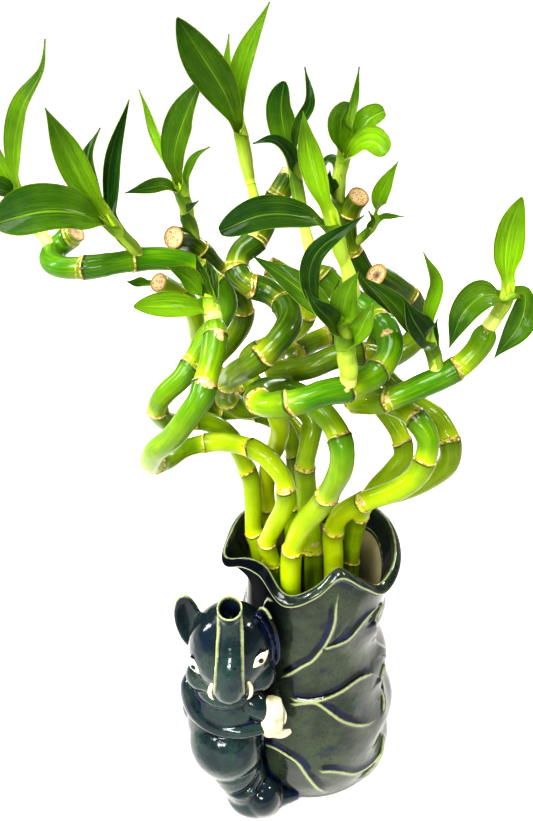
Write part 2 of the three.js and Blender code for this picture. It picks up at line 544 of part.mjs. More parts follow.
// Shoots: the stem from the middle of its cane outward, and the leaves as [midrib, width, facing].
const LEFT = [-0.8, -0.5, 0.3];
const RIGHT = [0.8, -0.5, 0.3];
const SHOOTS = {
  shoot_1: {
    on: 'cane_2',
    radii: [2.7, 1.8],
    stem: [[-113, 0, 305], [-118, 4, 310], [-123, 8, 316], [-127, 8, 326]],
    leaves: [
      [[[-127, 8, 325], [-126, 6, 341], [-119, 2, 361], [-106, -4, 379]], 10],
      [[[-127, 8, 325], [-132, 12, 333], [-136, 14, 343], [-136, 14, 356]], 7],
      [[[-126, 8, 322], [-130, 1, 330], [-136, -7, 332], [-142, -16, 327]], 11],
    ],
  },
  shoot_2: {
    on: 'cane_2',
    radii: [2.7, 2],
    stem: [[-73, -14, 305], [-76, -20, 313], [-81, -24, 321], [-84, -26, 328]],
    leaves: [
      [[[-82, -24, 322], [-91, -34, 330], [-102, -44, 334], [-118, -52, 332]], 18],
      [[[-84, -26, 326], [-91, -26, 338], [-96, -28, 352], [-99, -36, 367]], 12],
      [[[-84, -25, 328], [-90, -18, 337], [-92, -12, 346], [-87, -8, 356]], 6],
      [[[-82, -24, 321], [-85, -16, 328], [-84, -8, 345], [-76, -2, 365]], 9, RIGHT],
    ],
  },
  shoot_3: {
    on: 'cane_9',
    radii: [2.8, 2],
    stem: [[-54, 5, 306], [-56, 2, 316], [-57, 0, 325], [-59, -2, 334]],
    leaves: [
      [[[-59, -2, 331], [-60, -4, 344], [-55, -8, 359], [-45, -16, 373]], 15],
      [[[-59, -2, 332], [-64, 2, 344], [-69, 6, 355], [-74, 10, 367]], 6, LEFT],
      [[[-58, -1, 328], [-63, -8, 334], [-69, -14, 335], [-78, -18, 334]], 7],
      [[[-58, -1, 331], [-55, 4, 339], [-52, 6, 343], [-47, 8, 346]], 4],
      [[[-56, 1, 318], [-57, -4, 322], [-54, -8, 326], [-51, -10, 329]], 5],
    ],
  },
  shoot_4: {
    on: 'cane_1',
    radii: [3.4, 2.3],
    stem: [[-43.7, -47.5, 293.5], [-44.5, -44, 297], [-45.5, -42.5, 300], [-47, -43, 303]],
    leaves: [
      [[[-45, -43, 299], [-51, -50, 304], [-60, -58, 308], [-70, -64, 307]], 12],
      [[[-46, -43, 300], [-50, -42, 305], [-54, -44, 310], [-59, -50, 316]], 9],
      [[[-46, -43, 301], [-47, -40, 307], [-49, -38, 311], [-50, -38, 316]], 4],
      [[[-45, -42, 300], [-44, -38, 304], [-45, -34, 308], [-47, -32, 313]], 5],
    ],
  },
  shoot_5: {
    on: 'cane_5',
    radii: [2.6, 1.9],
    stem: [[-30, -4, 309.5], [-28.5, -4, 325], [-31, -4, 338], [-34, -6, 355]],
    leaves: [
      [[[-34, -6, 353], [-35, -8, 367], [-31, -10, 382], [-23, -12, 398]], 8.5],
      [[[-34, -6, 352], [-39, -12, 368], [-46, -20, 381], [-53, -32, 394]], 16],
      [[[-34, -5, 354], [-39, -2, 366], [-39, 2, 376], [-38, 4, 387]], 5],
    ],
  },
  shoot_6: {
    on: 'cane_4',
    radii: [2.6, 1.9],
    stem: [[-3.5, -10, 300.5], [-7, -4, 311], [-10, -1, 324], [-14, -2, 344]],
    leaves: [
      [[[-14, -2, 342], [-16, -1, 354], [-18, -4, 365], [-17, -9, 374]], 12, [-0.3, -0.5, 0.9]],
      [[[-14, -2, 342], [-12, -8, 356], [-8, -10, 365], [-10, -8, 377]], 5],
      [[[-12, -2, 334], [-16, -10, 347], [-22, -15, 353], [-29, -17, 352]], 7],
    ],
  },
  shoot_7: {
    on: 'cane_4',
    radii: [3.4, 2.7],
    stem: [[12, -19, 290], [8, -23, 305], [3, -24, 318], [0, -24, 329]],
    leaves: [
      [[[0, -24, 325], [-5, -22, 338], [-9, -20, 352], [-11, -24, 364]], 10.5],
      [[[1, -24, 322], [-12, -32, 332], [-26, -40, 334], [-41, -46, 328]], 13],
    ],
  },
  shoot_8: {
    on: 'cane_7',
    radii: [2.6, 1.8],
    stem: [[10, 12, 311], [6, 9, 323], [6, 8, 334], [7, 6, 344]],
    leaves: [
      [[[7, 6, 342], [5, 4, 351], [5, 0, 359], [8, -6, 367]], 10.5],
      [[[7, 6, 342], [9, 10, 355], [11, 12, 364], [12, 12, 375]], 4],
      [[[7, 6, 341], [12, 12, 349], [17, 14, 354], [23, 12, 359]], 9],
      [[[7, 6, 339], [12, 2, 347], [17, -4, 349], [22, -10, 345]], 11],
      [[[6, 8, 333], [5, 15, 338], [2, 20, 338], [-2, 24, 332]], 5],
      [[[6, 9, 322], [3, 4, 329], [1, 0, 334], [1, -4, 339]], 7],
    ],
  },
  shoot_9: {
    on: 'cane_7',
    radii: [1.8, 1.2],
    stem: [[12, 12, 303], [16, 10, 307], [20, 8, 312], [23, 6, 319]],
    leaves: [
      [[[22.5, 6, 317], [22, 2, 326], [24, -2, 334], [27, -6, 343]], 7.5],
      [[[20.5, 8, 313], [25, 12, 316], [30, 14, 316], [35, 14, 316]], 3],
      [[[18.5, 9, 310], [19, 4, 314], [20, 2, 318], [18, 0, 322]], 3],
    ],
  },
  shoot_10: {
    on: 'cane_6',
    radii: [3, 2.1],
    stem: [[46, -34.5, 262.5], [45, -33, 269], [43, -31, 274], [41, -30, 279]],
    leaves: [
      [[[43, -31, 274], [37, -38, 284], [32, -42, 292], [28, -42, 300]], 13],
      [[[42, -30, 276], [35, -26, 282], [30, -20, 284], [25, -19, 281]], 8],
      [[[41, -30, 277], [41, -28, 287], [42, -28, 301], [35, -34, 316]], 6.5],
      [[[43.5, -31, 273], [45, -26, 277], [45, -24, 280], [46, -22, 284]], 3.5],
    ],
  },
  shoot_11: {
    on: 'cane_6',
    radii: [3, 2.1],
    stem: [[63.8, -32, 283.5], [67, -31, 289], [70, -30, 295], [70, -30, 302]],
    leaves: [
      [[[70, -30, 300], [68, -28, 311], [68, -28, 323], [69, -32, 336]], 12.5],
      [[[70, -30, 297], [58, -40, 301], [49, -48, 297], [45, -50, 284]], 13],
      [[[70, -30, 298], [79, -27, 297], [80, -27, 285], [71, -37, 275]], 10],
    ],
  },
  shoot_12: {
    on: 'cane_4',
    radii: [3.3, 2.3],
    stem: [[7, -55, 269.2], [6.5, -58, 278], [5, -58, 287], [3, -58, 299]],
    leaves: [
      [[[3.5, -58, 296], [3, -62, 305], [4, -64, 312], [7, -64, 319]], 11],
      [[[4, -58, 292], [2, -52, 299], [1, -50, 305], [2, -50, 311]], 5],
      [[[4, -58, 291], [-2, -66, 302], [-7, -70, 309], [-11, -70, 315]], 9],
      [[[5, -58, 288], [9, -62, 296], [11, -62, 301], [14, -60, 307]], 8.5],
      [[[3.5, -58, 294], [-5, -50, 301], [-17, -46, 310], [-29, -44, 318]], 11],
      [[[3, -58, 297], [-9, -62, 310], [-9, -68, 327], [7, -70, 340]], 9],
    ],
  },
  shoot_13: {
    on: 'cane_10',
    radii: [1.7, 1.1],
    stem: [[-66, 8.5, 286], [-70, 11, 290], [-74, 12, 294]],
    leaves: [[[[-73, 12, 293], [-78, 10, 295], [-83, 6, 296], [-88, 0, 296]], 6]],
  },
};

function shoot({ on, radii, stem, leaves }) {
  const stalk = taper(stem, radii, 5, 3);
  return joined([stalk, ...leaves.map(blade)]).subtract(cane(CANES[on], GAP));
}

// The water fills the vase to WATER_LEVEL and has a plain hole for each cane.
function water() {
  const levels = CAVITY.map(([z]) => z).filter((z) => z <= WATER_LEVEL);
  const rings = levels.map((z, i) => (
    vaseRing((degrees) => [cavityRadius(degrees, z) - GAP, i === 0 ? z + GAP : z])));
  return Object.values(CANES).reduce((rest, one) => rest.subtract(cane(one, GAP)), solid(skin(rings)));
}

const group = new THREE.Group();

function place(name, body, [colour, roughness]) {
  const material = new THREE.MeshStandardMaterial({ color: colour, roughness, metalness: 0 });
  const mesh = new THREE.Mesh(geometryOf(body), material);
  mesh.name = name;
  group.add(mesh);
}

place('vase', vase(), COLOURS.glaze);
place('water', water(), COLOURS.water);
for (const [name, one] of Object.entries(CANES)) {
  place(name, cane(one), COLOURS[one.colour]);
}
for (const [name, one] of Object.entries(SHOOTS)) {
  place(name, shoot(one), COLOURS.leaf);
}

export default group;
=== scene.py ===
"""Curly lucky bamboo in a glazed lotus-leaf vase hugged by a small elephant, dressed on its CAD frame."""
import math

import bpy
import numpy as np
from mathutils.bvhtree import BVHTree
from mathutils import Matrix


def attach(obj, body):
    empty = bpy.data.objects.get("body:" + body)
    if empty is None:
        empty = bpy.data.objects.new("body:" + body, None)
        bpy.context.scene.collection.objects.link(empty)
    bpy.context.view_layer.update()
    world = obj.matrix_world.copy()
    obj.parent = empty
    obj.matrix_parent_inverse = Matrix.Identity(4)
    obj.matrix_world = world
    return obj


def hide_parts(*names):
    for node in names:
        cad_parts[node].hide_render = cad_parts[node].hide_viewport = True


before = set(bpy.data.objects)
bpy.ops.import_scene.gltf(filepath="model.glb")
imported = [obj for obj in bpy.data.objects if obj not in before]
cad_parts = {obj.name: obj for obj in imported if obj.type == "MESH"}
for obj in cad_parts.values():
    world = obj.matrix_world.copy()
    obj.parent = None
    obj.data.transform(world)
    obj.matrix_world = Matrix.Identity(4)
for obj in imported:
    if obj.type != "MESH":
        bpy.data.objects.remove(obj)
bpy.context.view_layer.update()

# The pot is slip-cast stoneware in the shape of a rolled lotus leaf. Its veins, and the leaf
# margins that lap down its right side, are raised in the mould, and its lip is ruffled by hand.
# The glaze is dark blue-green. It runs thin and pale over every edge and pools dark in hollows.
MM = 0.001
FLOOR_Z = 9.5
THROAT_Z = 118
THROAT_R = 38.4
LIP_THICKNESS = 3.4
LIP_SWELL = 1.18
MEAN_RADIUS = 44
# The underside, as [radius, height] from the middle outward.
FOOT = [[0.01, 0], [22, 0], [42, 0], [44.2, 0.2], [45.6, 1.2]]
# Rows of [height, radius], or for the rim of [degrees, radius, height].
WALL = [[3, 46.6], [14, 48.6], [28, 48.8], [42, 47.4], [58, 45.2], [74, 42], [90, 39.6], [104, 38.6],
        [THROAT_Z, THROAT_R]]
CAVITY = [[FLOOR_Z, 37], [14, 41.5], [40, 42.6], [64, 39.6], [82, 36.8], [98, 35.4], [THROAT_Z, 35]]
RIM = [[90, 40, 150], [118, 41.5, 146], [146, 44, 151], [172, 45, 150], [194, 47.5, 146], [206, 41, 151],
       [222, 37, 152], [248, 39.5, 142.5], [270, 38.5, 150], [287, 37, 159], [305, 39.5, 150],
       [322, 42.5, 140.5], [342, 45, 142], [360, 46, 146], [392, 45.5, 151.5], [420, 42, 146]]
# Lines on the wall, as [degrees, height]. The last three veins are at the back.
VEINS = [
    [[-114, 88], [-99, 99], [-91, 104], [-84, 112], [-80, 118], [-76, 128], [-75, 139], [-73, 147]],
    [[-84, 112], [-75, 113], [-66, 114], [-59, 117], [-51, 122], [-41, 125], [-25, 122]],
    [[-107, 77], [-96, 77], [-86, 77.5], [-77, 79], [-67, 81], [-58, 83], [-50, 83], [-40, 80], [-32, 74]],
    [[-107, 73], [-97, 75.5], [-88, 76], [-80, 71], [-72, 64], [-65, 59], [-57, 54], [-47, 49], [-36, 46]],
    [[-122, 41], [-115, 42], [-107, 40], [-98, 35], [-91, 24], [-84, 13], [-77, 5]],
    [[-85, 29], [-77, 28], [-69, 24], [-60, 18], [-51, 15], [-40, 13], [-30, 14], [-20, 20]],
    [[176, 96], [150, 104], [124, 110], [98, 122], [84, 138]],
    [[178, 60], [146, 58], [114, 46], [86, 26], [70, 10]],
    [[140, 107], [112, 100], [80, 102], [50, 112], [36, 130]],
]
MARGINS = [
    [[-26, 124], [-34, 120], [-36, 114], [-28, 100], [-21, 90], [-14, 82], [-8, 77]],
    [[-22, 77], [-28, 70], [-24, 55], [-29, 49], [-34, 43]],
    [[-22, 20], [-31, 14], [-38, 11.5], [-47, 9], [-56, 7]],
    [[-137, 120], [-135, 128], [-130, 135], [-126, 137], [-121, 136]],
]
POT_COLUMNS = 330
POT_STEP = 0.85
# The rolled lip from outside over to inside, as [outward, along the flare].
LIP_SECTION = [[1.7, -5], [1.75, -4.1], [2.05, -3.4], [2.6, -2.8], [2.95, -2.1], [2.85, -1.3], [2.2, -0.5],
               [1.2, 0.15], [0.1, 0.7], [-0.9, 0.95], [-1.55, 0.6], [-1.75, -0.4], [-1.7, -1.6]]


def smooth(rows, at):
    """A smooth curve through rows of [position, value], read at many positions."""
    x, y = np.array(rows, float).T
    slope = np.gradient(y, x)
    at = np.clip(at, x[0], x[-1])
    k = np.clip(np.searchsorted(x, at, "right") - 1, 0, len(x) - 2)
    span = x[k + 1] - x[k]
    t = (at - x[k]) / span
    return ((2 * t**3 - 3 * t**2 + 1) * y[k] + (t**3 - 2 * t**2 + t) * span * slope[k]
            + (3 * t**2 - 2 * t**3) * y[k + 1] + (t**3 - t**2) * span * slope[k + 1])


def smooth_points(rows, at):
    """The same for rows of two values, whose positions are 0, 1, 2 and so on."""
    return [smooth([[k, row[c]] for k, row in enumerate(rows)], at) for c in (0, 1)]


def ease(low, high, at):
    """0 below low, 1 above high and a smooth step between."""
    t = np.clip((at - low) / (high - low), 0, 1)
    return t * t * (3 - 2 * t)


def near(degrees, centre, spread):
    """1 at an angle round the pot, falling to 0 on both sides."""
    turn = ((degrees - centre + 540) % 360 - 180) / spread
    return np.exp(-turn * turn)


def pinch(degrees, z, depth=4.6):
    """The neck is drawn in on the left, under the widest part of the lip."""
    return depth * near(degrees, 198, 34) * ease(82, 112, z)


def wall_radius(degrees, z):
    """The outside below the throat, with the lapped leaf margins on the right."""
    lobes = 2.4 * near(degrees, -10, 30) * np.cos(2 * np.pi * (z - 41) / 36)
    return smooth(WALL, z) + lobes - pinch(degrees, z, 6.6)


def cavity_radius(degrees, z):
    return smooth(CAVITY, z) - pinch(degrees, z)


def rim_at(degrees):
    """Radius and height of the lip at each angle."""
    turned = (degrees - 90) % 360 + 90
    ring = [[a - 360, r, z] for a, r, z in RIM[-3:]] + RIM + [[a + 360, r, z] for a, r, z in RIM[:3]]
    return smooth([row[:2] for row in ring], turned), smooth([[a, z] for a, _, z in ring], turned)


def flare(degrees, share, inset):
    """The wall from the throat (0) to the lip (1), outside or set in by the lip's thickness."""
    radius, height = rim_at(degrees)
    start = cavity_radius(degrees, THROAT_Z) if inset else wall_radius(degrees, THROAT_Z)
    bend = 1.7 + 0.6 * near(degrees, 198, 34)
    return start + (radius - inset - start) * share**bend, THROAT_Z + (height - THROAT_Z) * share


def beside(lines, degrees, z):
    """Distance to the nearest of some lines on the wall, its side, and 1 fading to 0 at the line's ends."""
    best = np.full(degrees.shape, 99.0)
    above = np.zeros(degrees.shape)
    body = np.ones(degrees.shape)
    scale = math.radians(MEAN_RADIUS)
    for stops in lines:
        line = np.stack(smooth_points(stops, np.linspace(0, len(stops) - 1, 8 * len(stops))), 1)
        for step, ((a0, z0), (a1, z1)) in enumerate(zip(line, line[1:])):
            px = ((degrees - a0 + 540) % 360 - 180) * scale
            pz = z - z0
            dx, dz = (a1 - a0) * scale, z1 - z0
            t = np.clip((px * dx + pz * dz) / (dx * dx + dz * dz), 0, 1)
            away = np.hypot(px - t * dx, pz - t * dz)
            share = (step + t) / (len(line) - 1)
            closer = away < best
            above = np.where(closer, np.sign(px * -dz + pz * dx) * (1 if dx > 0 else -1), above)
            body = np.where(closer, ease(0, 0.06, share) * ease(1, 0.75, share), body)
            best = np.minimum(best, away)
    return best, above, body


def relief(degrees, z):
    """Height of the veins and margins over the wall, and where they leave the glaze thin or pooled dark."""
    away, above, body = beside(VEINS, degrees, z)
    crest = np.exp(-((away / 0.95) ** 2)) * body
    swell = np.exp(-((away / np.where(above > 0, 2.6, 6.0)) ** 2)) * body
    height = 0.75 * crest + 0.75 * swell
    thin = 1.1 * np.exp(-((away / 0.85) ** 2)) * (0.4 + 0.6 * body)
    pooled_and_shade = np.exp(-(((away - 2.6) / 1.9) ** 2)) * (above > 0) * body
    away, above, body = beside(MARGINS, degrees, z)
    side = np.where(above > 0, 1, -1) * away
    ledge = np.exp(-((away / 5.5) ** 2)) * ease(1.2, -1.2, side) * body
    height = height + 1.5 * ledge + 0.5 * np.exp(-((away / 0.9) ** 2)) * body
    thin = np.maximum(thin, 0.85 * np.exp(-((away / 0.6) ** 2)) * body)
    pooled_and_shade = np.maximum(pooled_and_shade, 0.8 * np.exp(-(((side - 2.2) / 1.6) ** 2)) * body)
    return height, thin, pooled_and_shade


def grid_faces(rows, columns, ring=True):
    """Quads between rows of points. A ring closes each row on itself."""
    i, j = np.meshgrid(np.arange(rows - 1), np.arange(columns if ring else columns - 1), indexing="ij")
    a = i * columns + j
    b = i * columns + (j + 1) % columns
    return np.stack([a, b, b + columns, a + columns], -1).reshape(-1, 4)


def piece(name, points, faces, slot, nodes, materials, marks=None, kinds=None):
    """A smooth mesh from points in mm. Its marks are values at the points that its materials read."""
    mesh = bpy.data.meshes.new(name)
    mesh.from_pydata((np.asarray(points) * MM).tolist(), [], [list(map(int, f)) for f in faces])
    mesh.shade_smooth()
    for mark, values in (marks or {}).items():
        values = np.asarray(values, np.float32)
        kind, field = ("FLOAT", "value") if values.ndim == 1 else ("FLOAT_VECTOR", "vector")
        mesh.attributes.new(mark, kind, "POINT").data.foreach_set(field, values.ravel())
    for material in materials:
        mesh.materials.append(material)
    if kinds is not None:
        mesh.polygons.foreach_set("material_index", np.asarray(kinds, np.int32))
    obj = bpy.data.objects.new(name, mesh)
    bpy.context.scene.collection.objects.link(obj)
    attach(obj, "root")
    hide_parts(*nodes)
    return obj


class Socket:
    """A shader socket. Operators on it add Math nodes, and node() adds any other node."""

    def __init__(self, tree, link=None):
        self.tree = tree
        self.link = link

    def node(self, kind, settings=None, sockets=None, out=0):
        made = self.tree.nodes.new("ShaderNode" + kind)
        for name, value in (settings or {}).items():
            setattr(made, name, value)
        for name, value in (sockets or {}).items():
            if isinstance(value, Socket):
                self.tree.links.new(value.link, made.inputs[name])
            else:
                made.inputs[name].default_value = value
        return Socket(self.tree, made.outputs[out])

    def maths(self, operation, *values):
        return self.node("Math", {"operation": operation}, dict(enumerate(values)))

    def __add__(self, other):
        return self.maths("ADD", self, other)

    def __sub__(self, other):
        return self.maths("SUBTRACT", self, other)

    def __rsub__(self, other):
        return self.maths("SUBTRACT", other, self)

    def __mul__(self, other):
        return self.maths("MULTIPLY", self, other)

    def __abs__(self):
        return self.maths("ABSOLUTE", self)

    __radd__ = __add__
    __rmul__ = __mul__

    def step(self, low, high):
        """0 below low, 1 above high, smooth between."""
        return self.node("MapRange", {"interpolation_type": "SMOOTHSTEP"},
                         {"Value": self, "From Min": low, "From Max": high})

    def over(self, under, colour):
        """This socket is the share of colour laid over the colour under it."""
        return self.node("Mix", {"data_type": "RGBA"}, {0: self, 6: under, 7: colour}, 2)

    def mark(self, name, out="Fac"):
        return self.node("Attribute", {"attribute_name": name}, out=out)

    def place(self):
        """Where a point lies, in metres."""
        return self.node("TexCoord", out="Object")

    def specks(self, where, scale, detail=3.0, rough=0.55):
        """Noise from 0 to 1. scale is how many specks there are in a metre."""
        return self.node("TexNoise", None,
                         {"Vector": where, "Scale": scale, "Detail": detail, "Roughness": rough})


def rgb(code):
    """A linear colour from the usual six-digit one."""
    channels = [int(code[i:i + 2], 16) / 255 for i in (0, 2, 4)]
    return tuple(((c + 0.055) / 1.055) ** 2.4 if c > 0.04045 else c / 12.92 for c in channels) + (1.0,)


def layered(colour, *coats):
    """A colour under some coats, each given by its share and its colour."""
    for share, coat in coats:
        colour = share.over(colour, coat)
    return colour


def finish(name, colour, roughness, height=None, depth=0.0, shaded=None, **steady):
    """A Principled material. colour, roughness and height are functions of a fresh socket, or plain.

    height moves the surface by up to depth. shaded is the share of a near black material without gloss, mixed
    in as painted shade.
    """
    material = bpy.data.materials.new(name)
    material.use_nodes = True
    tree = material.node_tree
    shader = tree.nodes["Principled BSDF"]
    start = Socket(tree)
    for socket, value in (("Base Color", colour), ("Roughness", roughness)):
        made = value(start) if callable(value) else value
        if isinstance(made, Socket):
            tree.links.new(made.link, shader.inputs[socket])
        else:
            shader.inputs[socket].default_value = made
    if height is not None:
        bump = start.node("Bump", None, {"Height": height(start), "Distance": depth, "Strength": 1.0})
        tree.links.new(bump.link, shader.inputs["Normal"])
    for socket, value in steady.items():
        shader.inputs[socket.replace("_", " ")].default_value = value
    if shaded is not None:
        black = start.node("BsdfPrincipled", None,
                           {"Base Color": rgb("0a0e12"), "Roughness": 0.4, "Specular IOR Level": 0.0})
        glossy = Socket(tree, shader.outputs[0])
        mixed = start.node("MixShader", None, {0: shaded(start), 1: glossy, 2: black})
        tree.links.new(mixed.link, tree.nodes["Material Output"].inputs["Surface"])
    return material


def glaze_colour(s):
    """Dark olive to blue-green, cloudy and specked with black, pale where thin, and near black where the
    glaze pools and where shade is painted.
    """
    place = s.place()
    cloud = s.specks(place, 34, 4.0, 0.6)
    fine = s.specks(place, 420, 3.0, 0.6)
    pot_glaze = cloud.step(0.34, 0.68).over(rgb("1e261e"), rgb("3c4734"))
    elephant_glaze = cloud.step(0.34, 0.68).over(rgb("132025"), rgb("293d38"))
    dark = s.specks(place, 130, 2.0).step(0.4, 0.65).over(rgb("04080b"), rgb("0e1a38"))
    thin = (s.mark("thin") + 0.5 * fine - 0.25).step(0.25, 0.85)
    clay = cloud.step(0.3, 0.7).over(rgb("a09470"), rgb("bdb08a"))
    return layered(
        s.mark("cool").over(pot_glaze, elephant_glaze),
        (0.8 * s.specks(place, 75, 3.0, 0.5).step(0.56, 0.7), rgb("142030")),
        (0.5 * s.specks(place, 48, 5.0, 0.7).step(0.55, 0.72), rgb("3f4c30")),
        # Near black where the glaze pools, and as painted shade under the lip, under its roll and on the far
        # ear.
        ((s.mark("pooled_and_shade") + 0.3 * cloud - 0.15).step(0.2, 0.8), dark),
        (0.9 * thin, rgb("98a072")),
        (s.specks(place, 1100, 1.0, 0.4).step(0.66, 0.72) * (1.0 - thin), rgb("05080b")),
        (s.mark("clay").step(0.35, 0.65), clay))


glaze = finish(
    "blue_green_glaze", glaze_colour,
    lambda s: 0.06 + 0.1 * s.specks(s.place(), 55, 3.0) + 0.3 * s.mark("clay"),
    lambda s: s.specks(s.place(), 60, 2.0) + 0.08 * s.specks(s.place(), 700, 2.0),
    # the share of painted shade: a near black material without gloss
    0.0007, lambda s: 0.97 * s.mark("shade").step(0.1, 0.8), IOR=1.52, Specular_IOR_Level=0.45)


def pot():
    """The pot's points and faces, and where its glaze is thin, where it pools dark, where shade is painted
    dark, and where it leaves the clay bare.

    The rows run from the middle of the foot up the outside, over the lip and down to the floor inside.
    """
    degrees = 90 + np.arange(POT_COLUMNS) * 360 / POT_COLUMNS
    rows = []

    def row(radius, z, thin=0.0, pooled_and_shade=0.0, clay=0.0):
        rows.append([value * np.ones(POT_COLUMNS) for value in (radius, z, thin, pooled_and_shade, clay)])

    for radius, z in FOOT:
        row(radius, z)
    for z in np.arange(2.2, THROAT_Z, POT_STEP):
        height, thin, pooled_and_shade = relief(degrees, z * np.ones(POT_COLUMNS))
        row(wall_radius(degrees, z) + height, z, thin, pooled_and_shade)
    for share in np.linspace(0, 0.86, 32):
        radius, z = flare(degrees, share, 0)
        height, thin, pooled_and_shade = relief(degrees, z)
        row(radius + height * (1 - share**6), z, thin, pooled_and_shade)
    outer, inner = flare(degrees, 1, 0), flare(degrees, 1, LIP_THICKNESS)
    top_r, top_z = [(a + b) / 2 for a, b in zip(outer, inner)]
    outer, inner = flare(degrees, 0.88, 0), flare(degrees, 0.88, LIP_THICKNESS)
    low_r, low_z = [(a + b) / 2 for a, b in zip(outer, inner)]
    size = np.hypot(top_r - low_r, top_z - low_z)
    along_r, along_z = (top_r - low_r) / size, (top_z - low_z) / size
    for at in np.linspace(1, 12, 30):
        out, rise = (LIP_SWELL * value for value in smooth_points(LIP_SECTION, at))
        pale = 1.3 * math.exp(-(((at - 3.9) / 0.9) ** 2)) + 0.7 * math.exp(-(((at - 9.3) / 0.9) ** 2))
        # The fourth value is painted shade on the outside, just under the rolled lip.
        row(top_r + out * along_z + rise * along_r, top_z - out * along_r + rise * along_z, pale,
            0.5 * math.exp(-(((at - 1.2) / 0.8) ** 2)))
    for share in np.linspace(0.93, 0, 30):
        radius, z = flare(degrees, share, LIP_THICKNESS)
        bare = 0.4 + 0.22 * near(degrees, 40, 45) + 0.03 * np.sin(np.radians(5 * degrees))
        row(radius, z, 0.7 * np.exp(-(((share - bare - 0.05) / 0.025) ** 2)), 0.55,
            ease(bare + 0.03, bare - 0.03, share))
    for z in np.linspace(THROAT_Z, FLOOR_Z, 50)[1:]:
        row(cavity_radius(degrees, z), z, clay=1.0)
    for radius in (30, 12, 0.01):
        row(radius, FLOOR_Z, clay=1.0)
    radius, z, thin, pooled_and_shade, clay = np.swapaxes(rows, 0, 1)
    angle = np.radians(degrees)
    points = np.stack([radius * np.cos(angle), radius * np.sin(angle), z], -1).reshape(-1, 3)
    return points, grid_faces(len(rows), POT_COLUMNS), thin.ravel(), pooled_and_shade.ravel(), clay.ravel()


pot_points, pot_faces, pot_thin, pot_pooled_and_shade, pot_clay = pot()
pot_degrees = np.degrees(np.arctan2(pot_points[:, 1], pot_points[:, 0]))
# Under the lip on the left, the neck is painted near black as shade, both in the dark glaze and with the
# glossless black material.
painted_shade_under_lip = near(pot_degrees, 210, 36) * ease(96, 112, pot_points[:, 2]) * (pot_thin < 0.3) * (pot_clay < 0.1)
pot_pooled_and_shade = np.maximum(pot_pooled_and_shade, painted_shade_under_lip)
pot_piece = piece("pot", pot_points, pot_faces, "glaze", ["vase"], [glaze],
                  {"thin": pot_thin, "pooled_and_shade": pot_pooled_and_shade, "clay": pot_clay, "shade": painted_shade_under_lip})

# The elephant is moulded with the pot: it stands on one foot, hugs the leaf and lifts its trunk.
# It has the same glaze in a bluer tone, pale along the trunk's edges and ridges and dark in its
# creases. It is one body here, closed over its parts and softened as a thick glaze softens them.
def turns(count):
    """Even angles round a circle."""
    return np.arange(count) * 2 * np.pi / count


def ball(centre, radii, turn=(0, 0, 0), sides=36, dish=0):
    """A turned ellipsoid, its front hollowed by dish."""
    down = np.linspace(0.001, np.pi - 0.001, sides // 2)
    lat, lon = np.meshgrid(down, turns(sides), indexing="ij")
    p = np.stack([np.sin(lat) * np.cos(lon), np.sin(lat) * np.sin(lon), np.cos(lat)], -1).reshape(-1, 3)
    hollow = dish * np.maximum(0, 1 - p[:, 0] ** 2 - p[:, 2] ** 2) * (p[:, 1] < 0)
    p = p * radii
    p[:, 1] += hollow
    for axis, angle in enumerate(turn):
        a, b = [(1, 2), (2, 0), (0, 1)][axis]
        c, s = math.cos(angle), math.sin(angle)
        p[:, a], p[:, b] = p[:, a] * c - p[:, b] * s, p[:, a] * s + p[:, b] * c
    return p + centre, grid_faces(sides // 2, sides)


def spline(points, steps=None, step=1.5):
    """A centripetal Catmull-Rom curve through points, read evenly or at shares of its length.

    Returns its points, its directions and how far along it each point lies.
    """
    p = np.array(points, float)
    p = np.vstack([2 * p[0] - p[1], p, 2 * p[-1] - p[-2]])
    fine = []
    for k in range(1, len(p) - 2):
        d0, d1, d2 = (np.sqrt(np.linalg.norm(p[k + i] - p[k + i - 1])) for i in (0, 1, 2))
        t1 = ((p[k] - p[k - 1]) / d0 - (p[k + 1] - p[k - 1]) / (d0 + d1) + (p[k + 1] - p[k]) / d1) * d1
        t2 = ((p[k + 1] - p[k]) / d1 - (p[k + 2] - p[k]) / (d1 + d2) + (p[k + 2] - p[k + 1]) / d2) * d1
        t = np.linspace(0, 1, 60, endpoint=False)[:, None]
        fine.append((2 * t**3 - 3 * t**2 + 1) * p[k] + (t**3 - 2 * t**2 + t) * t1
                    + (3 * t**2 - 2 * t**3) * p[k + 1] + (t**3 - t**2) * t2)
    fine = np.vstack(fine + [p[-2:-1]])
    reach = np.concatenate([[0], np.cumsum(np.linalg.norm(np.diff(fine, axis=0), axis=1))])
    if steps is None:
        steps = np.linspace(0, reach[-1], max(3, int(reach[-1] / step)))
    else:
        steps = np.asarray(steps) * reach[-1]
    line = np.stack([np.interp(steps, reach, fine[:, c]) for c in range(3)], 1)
    ahead = np.stack([np.interp(steps + 0.4, reach, fine[:, c]) - np.interp(steps - 0.4, reach, fine[:, c])
                      for c in range(3)], 1)
    return line, ahead / np.linalg.norm(ahead, axis=1)[:, None], steps


def frames(line, ahead):
    """A side and an upward direction at each point, carried along without twisting."""
    side = np.array([1.0, 0, 0])
    sides = []
    for tangent in ahead:
        side = side - tangent * side.dot(tangent)
        side /= np.linalg.norm(side)
        sides.append(side)
    sides = np.array(sides)
    return sides, np.cross(ahead, sides)


def rings_round(line, ahead, radii, sides):
    """Rings of points round a line. radii has one value for each ring, or for each of its points."""
    across, up = frames(line, ahead)
    angle = turns(sides)[None, :, None]
    return line[:, None] + radii[:, :, None] * (np.cos(angle) * across[:, None] + np.sin(angle) * up[:, None])


